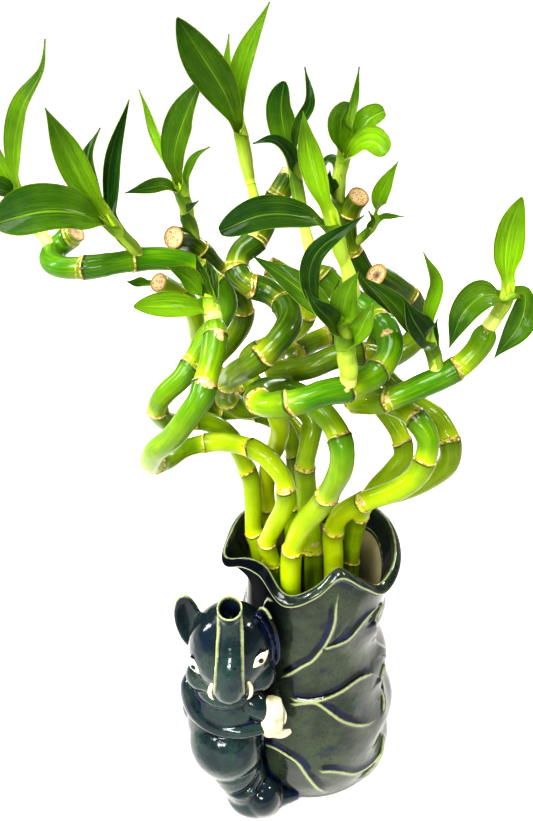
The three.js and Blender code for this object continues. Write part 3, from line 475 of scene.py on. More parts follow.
def limb(points, radii, sides=28):
    """A tapered round limb. Its ends are closed flat."""
    line, ahead, steps = spline(points, step=1.2)
    width = np.interp(steps / steps[-1], np.linspace(0, 1, len(radii)), radii)
    rings = rings_round(line, ahead, width[:, None], sides)
    rings = np.concatenate([np.repeat(line[:1, None], sides, 1), rings, np.repeat(line[-1:, None], sides, 1)])
    return rings.reshape(-1, 3), grid_faces(len(rings), sides)


def gathered(parts):
    """The points and faces of some (points, faces) as one list each."""
    starts = np.cumsum([0] + [len(points) for points, _ in parts[:-1]])
    faces = np.vstack([faces + start for (_, faces), start in zip(parts, starts)])
    return np.vstack([points for points, _ in parts]), faces


def fused(parts, voxel, rounds):
    """One closed body over some overlapping parts, softened. Returns its points, quads and normals.

    Nothing of it reaches through the pot's wall or below the floor.
    """
    points, faces = gathered(parts)
    degrees = np.degrees(np.arctan2(points[:, 1], points[:, 0]))
    z = np.clip(points[:, 2], 0, THROAT_Z)
    middle = (wall_radius(degrees, z) + cavity_radius(degrees, z)) / 2
    reach = np.maximum(np.hypot(points[:, 0], points[:, 1]), middle)
    points[:, 0], points[:, 1] = reach * np.cos(np.radians(degrees)), reach * np.sin(np.radians(degrees))
    points[:, 2] = np.maximum(points[:, 2], 0)
    mesh = bpy.data.meshes.new("parts")
    mesh.from_pydata((points * MM).tolist(), [], faces.tolist())
    clay = bpy.data.objects.new("parts", mesh)
    bpy.context.scene.collection.objects.link(clay)
    remesh = clay.modifiers.new("one_body", "REMESH")
    remesh.mode = "VOXEL"
    remesh.voxel_size = voxel * MM
    soften = clay.modifiers.new("soften", "SMOOTH")
    soften.factor = 0.5
    soften.iterations = rounds
    shape = clay.evaluated_get(bpy.context.evaluated_depsgraph_get()).to_mesh()
    points = np.empty(3 * len(shape.vertices))
    shape.vertices.foreach_get("co", points)
    corners = np.empty(len(shape.loops), int)
    shape.loops.foreach_get("vertex_index", corners)
    normals = np.empty(3 * len(shape.vertices))
    shape.vertex_normals.foreach_get("vector", normals)
    bpy.data.objects.remove(clay)
    return points.reshape(-1, 3) / MM, corners.reshape(-1, 4), normals.reshape(-1, 3)


TRUNK = [[-42, -50, 101], [-42, -57.5, 105], [-41.8, -59.4, 111], [-41.6, -58.6, 118], [-41.4, -54.6, 126],
         [-41.2, -50.6, 134], [-41, -48.8, 142], [-41, -49.8, 148.5], [-41, -52, 153]]
TRUNK_RADII = [9, 8, 7.2, 6.8, 6.2, 5.8, 5.6, 5.7, 6.3]
BODY_PARTS = {
    "head": ball([-42, -37, 112], [21.5, 21, 25]),
    "jaw": ball([-42, -41, 99], [20.5, 15, 13]),
    "cheek_left": ball([-55.5, -43.5, 99.5], [9.5, 8.5, 9]),
    "cheek_right": ball([-28.5, -45, 101.5], [9.5, 8.5, 9.5]),
    "ear_left": ball([-63.5, -28.5, 120], [7.2, 4.4, 19], (0, -0.12, 0.1), dish=5.0),
    "ear_right": ball([-23, -38, 120], [6.4, 3.4, 18.5], (0, -0.2, -0.6), dish=2.4),
    "trunk": limb(TRUNK, TRUNK_RADII),
    "neck": ball([-44, -38, 90], [18.5, 17.6, 12]),
    "belly": ball([-45, -35, 55], [22.3, 20, 35]),
    "chest": ball([-43, -43, 78], [18, 13.6, 15]),
    "back": ball([-60, -29, 60], [10.4, 12, 15]),
    "arm": limb([[-54, -32, 90], [-60, -37, 85], [-58.5, -43.5, 77], [-50.5, -51, 72], [-39, -54.6, 71],
                 [-30, -53, 70.5], [-20, -48.5, 69.5]], [6, 9, 8.2, 6.2, 4.8, 4.4, 4]),
    "upper_arm": limb([[-38, -43, 86], [-30, -48, 83], [-24, -48, 77]], [8.5, 7.4, 6.4]),
    "thigh": ball([-45.5, -44, 47], [19.5, 18, 22.5], (0, -0.45, 0)),
    "shin": limb([[-44, -44.5, 44], [-41.5, -45, 34], [-38, -46, 23], [-34, -46, 12]], [13, 15, 13.4, 12.4]),
    "cuff": limb([[-52, -42, 22], [-45, -53, 22], [-38, -57.5, 21.5], [-30, -57.5, 25]], [2, 3, 3, 2]),
    "foot": ball([-30.5, -45.5, 7.5], [16.6, 15.5, 11.5]),
    "toe": ball([-26.5, -52, 11.5], [10.5, 10, 12]),
    "foot_web": limb([[-26, -48, 6], [-15, -46.5, 4.6], [-6, -45, 3]], [8, 6, 3]),
    "tail": limb([[-55, -20, 55], [-59, -19, 46], [-58, -20, 38], [-55, -21, 32]], [2.4, 2.6, 2.6, 3.4]),
}
TRUNK_EDGES = [[[x + low + (high - low) * k / 8, y - 3, z + 0.5] for k, (x, y, z) in enumerate(TRUNK)][1:]
               for low, high in ((-7, -5), (7, 5))]
for side, line in zip(("left", "right"), TRUNK_EDGES):
    BODY_PARTS["trunk_edge_" + side] = limb(line, [1.3, 1.2, 1.1, 1, 0.9])
# Lines over the front of the leg, seen from straight in front: the cuffs' pale edges and a groove.
CUFF_LINES = [[[-46, 0, 25.3], [-40.5, 0, 20.9], [-32.3, 0, 26], [-26.4, 0, 32.4]],
              [[-43.8, 0, 18.9], [-39, 0, 16.6], [-34, 0, 19.6], [-27.5, 0, 28.5]]]
GROOVES = [[[-30.4, 0, 64.3], [-26.5, 0, 56], [-25.3, 0, 47], [-25.6, 0, 38], [-29, 0, 31], [-33.9, 0, 27.7],
            [-41, 0, 23.5]]]


def painted(points, lines, width):
    """1 on some lines over the body, fading to 0 at about their width."""
    best = np.full(len(points), 99.0)
    for stops in lines:
        for at in spline(stops, step=0.8)[0]:
            best = np.minimum(best, np.linalg.norm(points - at, axis=1))
    return np.exp(-((best / width) ** 2))


def hollow_trunk(points):
    """The trunk's open tip, sunk along its last direction, with marks for its pale edge and its hollow."""
    tip = np.array(TRUNK[-1], float)
    axis = spline(TRUNK)[1][-1]
    along = (points - tip) @ axis
    away = np.linalg.norm(points - tip - along[:, None] * axis, axis=1)
    at_tip = ease(-1.6, -0.6, along) * (away < 8.5)
    depth = 7 * ease(5.4, 4.2, away) + 9 * np.clip(1 - away / 4.6, 0, 1)
    points = points - (depth * at_tip)[:, None] * axis
    return points, 1.2 * at_tip * np.exp(-(((away - 5.8) / 0.8) ** 2)), at_tip * ease(4.9, 3.4, away)


def bend_of(points, normals, faces, rounds=3):
    """How sharply a surface bends at each point, in 1/mm: above 0 on ridges, below 0 in creases."""
    total, count = np.zeros(len(points)), np.zeros(len(points))
    edges = np.vstack([faces[:, [k, (k + 1) % 4]] for k in range(4)])
    along = points[edges[:, 1]] - points[edges[:, 0]]
    turn = ((normals[edges[:, 1]] - normals[edges[:, 0]]) * along).sum(1)
    turn = turn / np.maximum((along**2).sum(1), 0.05)
    for end in (0, 1):
        np.add.at(total, edges[:, end], turn)
        np.add.at(count, edges[:, end], 1)
    bend = total / count
    for _ in range(rounds):
        total = np.zeros(len(points))
        np.add.at(total, edges[:, 0], bend[edges[:, 1]])
        np.add.at(total, edges[:, 1], bend[edges[:, 0]])
        bend = 0.5 * bend + 0.5 * total / count
    return bend


body_points, body_faces, body_normals = fused(list(BODY_PARTS.values()), voxel=0.75, rounds=9)
bend = bend_of(body_points, body_normals, body_faces)
body_points, tip_edge, tip_hollow = hollow_trunk(body_points)
front = (body_points[:, 1] < -44) & (body_normals[:, 1] < 0)
groove = painted(body_points * [1, 0, 1], GROOVES, 1.7) * front
body_points = body_points - (1.1 * groove)[:, None] * body_normals
body_degrees = np.degrees(np.arctan2(body_points[:, 1], body_points[:, 0]))
body_z = body_points[:, 2]
off_wall = np.hypot(body_points[:, 0], body_points[:, 1]) - wall_radius(body_degrees, body_z)
# The far ear is painted near black as shade, and the pale glaze on its ridges is removed below its top.
right_ear_painted_shade = ease(1.3, 0.8, ((body_points - [-22, -37, 119]) ** 2 / [110, 60, 500]).sum(1))
left_ear = ease(1.2, 0.7, ((body_points - [-64, -32, 120]) ** 2 / [70, 40, 420]).sum(1))
ridge = ease(0.17, 0.5, bend) * (body_z > 34) * (1 - 0.75 * left_ear) * (1 - 0.9 * right_ear_painted_shade * (body_z < 133))
trunk_edge = 1.3 * painted(body_points, TRUNK_EDGES, 1.25)
cuff_edge = 0.35 * painted(body_points * [1, 0, 1], CUFF_LINES, 0.7) * front
crease = ease(0.0, -0.22, bend) * (1 - 0.9 * left_ear)
at_wall = ease(3.5, 0.5, off_wall)
piece("elephant", body_points, body_faces, "glaze", ["vase"], [glaze], {
    "thin": np.maximum.reduce([ridge, tip_edge, trunk_edge, cuff_edge]),
    "pooled_and_shade": np.maximum.reduce([crease, at_wall, tip_hollow, 0.9 * right_ear_painted_shade, 0.9 * groove]),
    "cool": np.ones(len(bend)),
})
# The glaze pools where the elephant meets the pot, so the pot is dark there too.
body_tree = BVHTree.FromPolygons((body_points * MM).tolist(), body_faces.tolist())
seam = [body_tree.find_nearest(point, 6 * MM)[3] or 6 * MM for point in (pot_points * MM).tolist()]
pooled = np.maximum(pot_pooled_and_shade, ease(4.5, 0.5, np.array(seam) / MM))
pot_piece.data.attributes["pooled_and_shade"].data.foreach_set("value", pooled.astype(np.float32))

# The tusks, the eyes and the hand that lies on the leaf are picked out in cream glaze before the
# firing. The pupils are a dot of black.
cream = finish(
    "cream_glaze",
    lambda s: s.specks(s.place(), 160, 3.0).step(0.3, 0.75).over(rgb("d9d2b4"), rgb("b3aa86")),
    lambda s: 0.16 + 0.1 * s.specks(s.place(), 90, 2.0),
    lambda s: s.specks(s.place(), 260, 2.0), 0.0004, Coat_Weight=0.5, Coat_Roughness=0.06)
pupil = finish("pupil_glaze", rgb("101214"), lambda s: 0.08 + 0.06 * s.specks(s.place(), 200))
TUSKS = {"tusk_left": [[-49, -54, 107], [-51.4, -57, 104], [-51.2, -59, 101.2], [-49.6, -59.6, 99.4]],
         "tusk_right": [[-34, -54, 107.5], [-31.6, -57.2, 105], [-31.8, -59.2, 102], [-33.4, -59.8, 100]]}
for name, line in TUSKS.items():
    piece(name, *limb(line, [0.9, 1.3, 1.1, 0.3], 20), "glaze", ["vase"], [cream])


EYE_SIDES = 48
PUPIL_RADIUS = 1.35


def eye(name, centre, facing, tilt, half_width, half_height):
    """A domed almond set on the face, with its pupil and a dark line along its upper rim."""
    out = np.array(facing, float)
    out /= np.linalg.norm(out)
    across = np.cross([0, 0, 1], out)
    across /= np.linalg.norm(across)
    up = np.cross(out, across)
    c, s = math.cos(tilt), math.sin(tilt)
    across, up = across * c + up * s, up * c - across * s
    angle = turns(EYE_SIDES)
    almond = np.abs(np.cos(angle) / half_width) ** 1.5 + np.abs(np.sin(angle) / half_height) ** 1.5
    almond = almond ** (-1 / 1.5)
    rows = []
    for share in np.linspace(0, 1, 14):
        swell = 1.7 * math.sqrt(max(0, 1 - share**2)) - 0.9 * share**6
        flat = share * almond
        ring = np.outer(flat * np.cos(angle), across) + np.outer(flat * np.sin(angle), up)
        rows.append(np.array(centre) + ring + out * swell)
    faces = grid_faces(len(rows), EYE_SIDES)
    points = np.vstack(rows)
    dot = np.array(centre) + 0.3 * across - 0.2 * up
    away = np.linalg.norm(np.cross(points - dot, out), axis=1)
    far = np.linalg.norm(points - centre, axis=1) > 0.8 * np.tile(almond, len(rows))
    rim = far & ((points - centre) @ up > 0)
    kinds = ((away[faces].mean(1) < PUPIL_RADIUS) | rim[faces].all(1)).astype(int)
    piece(name, points, faces, "glaze", ["vase"], [cream, pupil], kinds=kinds)


eye("eye_right", [-27.4, -51.4, 118.4], [0.3, -0.92, 0.28], 0.66, 6.4, 3.5)
eye("eye_left", [-59.2, -49.2, 112], [-0.45, -0.85, 0.2], -0.8, 5.6, 3.4)
hand_points, hand_faces, _ = fused([
    limb([[-21, -48.5, 87], [-22, -50.6, 80], [-22.6, -51.4, 72], [-22.2, -51, 65]], [3.4, 4.8, 5.2, 4.4]),
    limb([[-18.6, -48, 86], [-18.2, -49.6, 78], [-18.4, -50.2, 71], [-19, -50.2, 65]], [2.2, 3.4, 3.4, 3.4]),
    limb([[-20, -50.5, 64.6], [-15.5, -50.5, 62.5], [-11, -49.4, 63]], [3.8, 2.6, 1.2]),
    limb([[-16.4, -48.5, 82], [-14.6, -48.5, 75], [-14.8, -49, 69]], [1, 1.2, 1.2]),
], voxel=0.5, rounds=7)
piece("hand", hand_points, hand_faces, "glaze", ["vase"], [cream])

# The water is poured into the vase and stands round the feet of the canes, below the throat. It is
# clear, with a faint green tint. The frame's own solid is shown, with holes for the canes.
water = finish("water", rgb("e6f2ea"), lambda s: 0.02 + 0.02 * s.specks(s.place(), 120),
               lambda s: s.specks(s.place(), 70, 2.0), 0.0006, Transmission_Weight=1.0, IOR=1.33)
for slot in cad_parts["water"].material_slots:
    slot.material = water

# Each cane is one living stalk, trained into curls as it grew. A narrow tan ring of leaf scar
# runs round it at every node, where it is a little thicker. It is smooth, waxy and green, more
# yellow lower down, and darker below the pot's rim as painted shade. Some canes were sawn off at
# the top and have dried to a pale disc.
CANE_SIDES = 32
CANE_STEP = 1.7
NO_RING = 60.0
FOOT_SHARES = (0.02, 0.6)
TOP_SHARES = (0.97, 0.9, 0.6, 0.3, 0.02)
SAWN_LIFTS = (0.25, 0.1, -0.15, -0.3, -0.45)
# For each: radius, colour, what its top is, how far up its middle line each ring lies, and that line.
CANES = {
    "cane_1": (4.6, "cane", "shoot", [137, 155, 195, 223, 249, 284, 364, 383], [
        [-17, -11, 10], [-18, -11, 60], [-21.5, -13.5, 147], [-24, -17, 161], [-20, -22, 177],
        [-16, -26, 190], [-15, -27, 199], [-16, -26, 206], [-21, -23, 213], [-27, -18, 216],
        [-35, -12, 216], [-45, -6, 214], [-54, -4, 212], [-63, -9, 212], [-70, -20, 213], [-74, -36, 222],
        [-69, -52, 239], [-60, -62, 252], [-53, -67, 264], [-48, -67, 272], [-46, -63, 278],
        [-44, -57, 284], [-43, -51, 290], [-44, -46, 295]]),
    "cane_2": (4.7, "cane", "sawn", [141, 178, 224, 255, 287, 330, 340, 368, 388, 433], [
        [-16, 4, 10], [-18, 4, 60], [-28.5, 5, 142], [-31, 7, 151], [-31, 10, 164], [-32, 13, 178],
        [-36, 13, 191], [-41, 11, 205], [-49, 8, 215], [-57, 6, 219], [-65, 2, 220], [-71, -6, 226],
        [-73, -14, 237], [-68, -20, 248], [-60, -20, 256], [-55, -16, 263], [-50, -10, 270], [-44, -6, 277],
        [-41, -5, 284], [-44, -6, 292], [-50, -7, 298], [-57, -8, 303], [-66, -12, 306], [-75, -16, 307],
        [-83, -20, 307], [-93, -22, 306], [-104, -20, 305], [-112, -10, 304], [-114, 2, 304.5],
        [-110, 5.5, 307.5], [-104, 3.5, 312.5]]),
    "cane_3": (4.6, "cane_yellow", "sawn", [146, 184, 234, 268, 295], [
        [-19, 17, 10], [-20, 17, 60], [-22, 18, 135], [-23, 20, 151], [-24, 21, 169], [-23, 14, 188],
        [-19, 2, 208], [-18, -7, 224], [-22, -7, 236], [-29, -4, 243], [-33, 1, 247], [-32, 6, 253],
        [-25, 8, 257], [-17, 7, 262], [-9, 7, 268], [-6, 8, 276], [-9, 10, 284], [-16, 13, 290],
        [-23, 13, 294]]),
    "cane_4": (5.2, "cane", "shoot", [158, 205, 239, 299, 315, 338, 355, 378, 394, 410], [
        [-8, -23, 10], [-9, -23, 60], [-12, -24, 141], [-12, -25, 158], [-11, -28, 169], [-7, -33, 186],
        [0, -38, 201], [4, -44, 215], [7, -48, 228], [7, -48, 237], [5, -44, 243], [0, -38, 248],
        [-7, -31, 251], [-16, -30, 255], [-24, -37, 259], [-28, -47, 261], [-23, -57, 263], [-12, -61, 267],
        [-2, -58, 269], [8, -54, 269], [16, -48, 270], [23, -42, 275], [25, -36, 280], [22, -30, 285],
        [16, -22, 288], [9, -16, 291], [2, -12, 296], [-4, -10, 301]]),
    "cane_5": (5.1, "cane_dark", "sawn", [138, 187, 262, 290, 331, 363, 379, 388, 405, 425], [
        [2, -5, 10], [2, -5, 60], [1, -6, 135], [0, -6, 151], [-3, -4, 169], [-4, -2, 183], [-5, 0, 197],
        [-3, 2, 210], [-2, 6, 219], [-8, 9, 225], [-18, 9, 227], [-27, 9, 225], [-35, 7, 225],
        [-42, 1, 233], [-43, -10, 245], [-39, -24, 258], [-34, -37, 268], [-26, -46, 278], [-19, -44, 285],
        [-15, -34, 288], [-17, -24, 291], [-24, -17, 294], [-32, -16, 297], [-36, -12, 301], [-35, -7, 306],
        [-28, -2, 311], [-24, 2, 317.5], [-20.5, 6, 324], [-17, 9.5, 329.5], [-13.5, 12, 334]]),
    "cane_6": (5, "cane", "shoot", [159, 191, 231, 252, 302, 319, 351], [
        [13, -14, 10], [12, -14, 60], [10, -14, 148], [9, -14, 165], [11, -18, 179], [17, -24, 190],
        [25, -30, 199], [35, -34, 207], [42, -36, 216], [45, -36, 227], [45, -34, 234], [40, -30, 241],
        [35, -21, 241], [27, -12, 240], [19, -13, 243], [14, -24, 247], [17, -36, 252], [28, -40, 257],
        [39, -36, 260], [49, -34, 264], [57, -33, 270], [62, -32, 277], [64, -32, 285]]),
    "cane_7": (4.7, "cane_dark", "sawn", [130, 163, 211, 261, 312, 331], [
        [24, -3, 10], [23, -3, 60], [20, -4, 140], [21, -4, 156], [23, -8, 174], [29, -10, 190],
        [36, -10, 200], [41, -8, 208], [39, -4, 217], [34, 2, 224], [27, 7, 232], [23, 8, 244],
        [25, 7, 256], [28, 6, 267], [28, 8, 278], [23, 10, 286], [17, 12, 295], [12, 12, 304],
        [10, 12, 313], [12, 8, 322], [14, 4, 327]]),
    "cane_8": (5.1, "cane_dark", "sawn", [137, 226, 256, 311, 330, 357, 407, 447, 469], [
        [17, 12, 10], [17, 11, 60], [17, 10, 142], [21, 10, 158], [31, 8, 171], [44, 4, 178], [56, 0, 188],
        [64, -4, 201], [63, -4, 214], [57, 2, 223], [48, 11, 226], [41, 20, 229], [34, 27, 233],
        [27, 31, 239], [18, 32, 247], [10, 32, 252], [0, 28, 251], [-10, 20, 249], [-18, 8, 248],
        [-19, -8, 253], [-13, -18, 258], [-5, -22, 262], [5, -21, 266], [16, -17, 266], [28, -11, 261],
        [37, -3, 261], [44, 4, 265], [44, 6, 273], [39, 2, 283], [30, -6, 292], [21, -12, 299]]),
    "cane_9": (4.8, "cane_dark", "sawn", [150, 181, 214, 233, 268, 298, 323, 337], [
        [-6, 14, 10], [-7, 15, 60], [-10, 16, 150], [-11, 16, 170], [-9, 18, 185], [-11, 20, 197],
        [-17, 22, 207], [-26, 22, 213], [-37, 22, 215], [-49, 20, 217], [-55, 17, 225], [-55, 16, 237],
        [-49, 17, 246], [-41, 18, 255], [-35, 17, 266], [-35, 16, 275], [-40, 14, 284], [-46, 12, 293],
        [-51, 8, 301], [-57, 3, 308.5], [-62, -6, 313]]),
    "cane_10": (4.4, "cane_yellow", "sawn", [149, 183, 226, 268, 306], [
        [3, 25, 10], [1, 25, 60], [-3, 26, 139], [-4, 27, 159], [-3, 28, 178], [-5, 31, 192],
        [-13, 35, 202], [-24, 38, 210], [-37, 38, 216], [-47, 37, 226], [-54, 33, 239], [-57, 27, 253],
        [-57, 20, 266], [-60, 14, 277.5], [-65, 8.5, 284.5], [-70.5, 1, 291]]),
}
# Dry scars as [x, y, z, size]: bands across the cane below this height, and round above it.
ROUND_SCARS_Z = 290
SCARS = {
    "cane_1": [[-15.6, -30.4, 203.8, 2.6], [-45.4, -68, 278.6, 4], [-41.5, -54.7, 292, 2.6]],
    "cane_4": [[5.9, -59.1, 271.5, 2.2], [22.7, -37.7, 284.6, 3]],
    "cane_5": [[0.3, -9.8, 155.2, 3.2], [-31.2, -44.2, 273.3, 3], [-15, 10.5, 336, 3.6]],
    "cane_6": [[20.1, -30.9, 197.4, 3.4], [24.5, -43.3, 258.2, 2.2], [62.5, -36.5, 285, 3.6]],
    "cane_8": [[-10.3, 14.2, 251.1, 2.4], [20.6, -12.4, 299.4, 2.6]],
}


def streaks_along(skin, scale):
    """Fine streaks that run along a stalk."""
    drawn_out = skin.node("VectorMath", {"operation": "MULTIPLY"}, {0: skin, 1: (1.0, 1.0, 0.05)})
    return skin.specks(drawn_out, scale, 3.0)


def cane_colour(s, fresh, aged):
    """Lime to green by age, darker below the pot's rim as painted shade, pale above each ring and dark below
    it, with tan ring lines and scars.
    """
    skin, age = s.mark("skin", "Vector"), s.mark("age")
    tan = s.specks(skin, 600, 2.0).step(0.35, 0.65).over(rgb("8a6420"), rgb("e2d08c"))
    dried = s.specks(skin, 900, 3.0).step(0.3, 0.6).over(rgb("a67c3c"), rgb("cdbb88"))
    ragged = 1.2 * s.specks(skin, 300, 3.0, 0.6) - 0.68
    return layered(
        (age + 0.6 * s.specks(skin, 55, 3.0) - 0.3).step(0.0, 1.0).over(fresh, aged),
        (0.16 * streaks_along(skin, 1100).step(0.4, 0.7), rgb("b4c808")),
        (s.mark("pale") * (0.55 - 0.4 * age), rgb("d6e010")),
        (0.45 * s.mark("dark"), rgb("2c4f06")),
        (0.95 * (1.0 - (s.mark("line") + ragged).step(0.14, 0.42)), tan),
        (0.8 * (1.0 - (s.mark("under") + ragged).step(0.0, 0.35)), rgb("33280a")),
        ((s.mark("scar") + 1.6 * s.specks(skin, 380, 4.0, 0.65) - 0.8).step(0.45, 0.6), dried))


SOFT_GREEN = {"Subsurface_Scale": 0.004, "Subsurface_Radius": (0.5, 1.0, 0.1)}


def cane_finish(name, fresh, aged):
    return finish(
        name, lambda s: cane_colour(s, rgb(fresh), rgb(aged)),
        lambda s: 0.26 + 0.2 * s.specks(s.mark("skin", "Vector"), 130, 3.0) + 0.4 * s.mark("scar"),
        lambda s: s.specks(s.mark("skin", "Vector"), 420, 3.0), 0.0002,
        Specular_IOR_Level=0.14, Coat_Weight=0.24, Coat_Roughness=0.08, Subsurface_Weight=0.05, **SOFT_GREEN)


CANE_FINISHES = {
    "cane": cane_finish("green_cane", "a8ba04", "3c7004"),
    "cane_yellow": cane_finish("yellow_cane", "aeba04", "7a9406"),
    "cane_dark": cane_finish("dark_cane", "8ea806", "1c4004"),
}


def sawn_colour(s):
    """Pale dried fibres with brown dots, darker at the edge and where a scar reaches in."""
    return layered(
        s.specks(s.place(), 1500, 2.0).step(0.5, 0.66).over(rgb("c9b184"), rgb("7b5630")),
        (s.mark("scar").step(0.3, 0.9), rgb("4c2c34")),
        (s.mark("line").step(0.7, 0.95), rgb("94703c")))


sawn = finish("sawn_cane", sawn_colour, 0.8, lambda s: s.specks(s.place(), 1600, 3.0), 0.0006)


def cane(name, radius, slot, top, rings, path, seed):
    """A stalk thicker at its rings. Its top is sawn off, or rounded under a shoot."""
    rng = np.random.default_rng(seed)
    total = spline(path)[2][-1]
    rings = [ring for ring in rings if ring < total - 1]
    stations = set(np.arange(0, total, CANE_STEP)) | {total}
    for ring in rings:
        stations |= set(ring + np.arange(-3, 3.01, 0.4))
    stations = np.array(sorted(s for s in stations if 0 <= s <= total))
    line, ahead, steps = spline(path, stations / total)
    angle = turns(CANE_SIDES)
    # How far each point is above the nearest ring, and from the fainter second line that some rings have.
    gap = np.full((len(steps), CANE_SIDES), NO_RING)
    second = np.full((len(steps), CANE_SIDES), NO_RING)
    for ring in rings:
        slant, sway, twin = rng.uniform(0, 2 * np.pi, 3)
        here = (steps - ring)[:, None] - 0.8 * np.cos(angle - slant) - 0.3 * np.cos(3 * angle + sway)
        gap = np.where(np.abs(here) < np.abs(gap), here, gap)
        if twin < 4.2:
            second = np.minimum(second, np.abs(here - 1.5 - 0.6 * np.cos(angle - twin)))
    width = radius * (1 + 0.012 * np.sin(steps / 17 + seed) + 0.01 * np.sin(steps / 7.3 + 2 * seed))[:, None]
    width = width - 0.3 * np.exp(-((gap - 6) / 7) ** 2) * (gap > 0)
    width = width + 0.3 * np.exp(-((gap + 0.3) / 0.6) ** 2)
    width = width + 0.25 * np.exp(-((gap + 2.5) / 2.6) ** 2) * (gap < 0)
    if top == "shoot":
        width = width * np.sqrt(np.clip((total - steps) / 4.0, 0.0, 1.0) * 0.75 + 0.25)[:, None]
    rows = rings_round(line, ahead, width, CANE_SIDES)
    foot = [line[0] + share * (rows[0] - line[0]) for share in FOOT_SHARES]
    end = [line[-1] + share * (rows[-1] - line[-1]) for share in TOP_SHARES]
    if top == "sawn":
        end = [points + ahead[-1] * lift for points, lift in zip(end, SAWN_LIFTS)]
    rows = np.concatenate([foot, rows, end])
    added = (len(foot), len(end))
    along = np.pad(steps, added, "edge")
    gap, second = (np.pad(values, (added, (0, 0)), constant_values=NO_RING) for values in (gap, second))
    line_mark = np.minimum(np.minimum(np.abs(gap), 0.05 + second), 3)
    faces = grid_faces(len(rows), CANE_SIDES)
    kinds = np.zeros(len(faces), int)
    if top == "sawn":
        line_mark[-len(end):] = np.array(TOP_SHARES)[:, None]
        kinds[-len(end) * CANE_SIDES:] = 1
    skin = np.empty(rows.shape)
    skin[:, :, 0] = radius * np.cos(angle)
    skin[:, :, 1] = radius * np.sin(angle)
    skin[:, :, 2] = along[:, None] + 97 * seed
    piece_tone = rng.uniform(-0.22, 0.22, len(rings) + 1)[np.searchsorted(rings, along)]
    height = rows[:, :, 2]
    # The step below about 150 mm is painted shade inside the pot.
    age = np.clip((height - 150) / 150, 0, 1) + 0.5 * ease(152, 138, height) + piece_tone[:, None]
    scar = np.zeros(height.shape)
    tangents = np.pad(ahead, (added, (0, 0)), "edge")
    for *place, size in SCARS.get(name, []):
        away = rows - place
        lengthwise = 2.5 * (away * tangents[:, None]).sum(2) ** 2 * (place[2] < ROUND_SCARS_Z)
        away = (away**2).sum(2) + lengthwise
        scar = np.maximum(scar, np.exp(-away / size**2))
    marks = {"line": line_mark, "under": np.minimum(np.abs(gap + 1), 3),
             "pale": ease(7, 0, gap) * (gap > -0.2), "dark": ease(-7, -0.4, gap) * (gap < 0),
             "age": age, "scar": scar}
    marks = {mark: values.ravel() for mark, values in marks.items()}
    marks["skin"] = skin.reshape(-1, 3) * MM
    piece(name, rows.reshape(-1, 3), faces, slot, [name], [CANE_FINISHES[slot], sawn], marks, kinds)


for number, (name, (radius, slot, top, rings, path)) in enumerate(CANES.items()):
    cane(name, radius, slot, top, rings, path, number + 1)

# The shoots grow from buds on the canes: a green stem wrapped in the sheaths of its leaves, and
# lance-shaped leaves with parallel veins, glossy above and duller below. New leaves are bright
# yellow-green and older ones dark.
LEFT = [-0.8, -0.5, 0.3]
RIGHT = [0.8, -0.5, 0.3]
FRONT = [0, -0.75, 0.66]
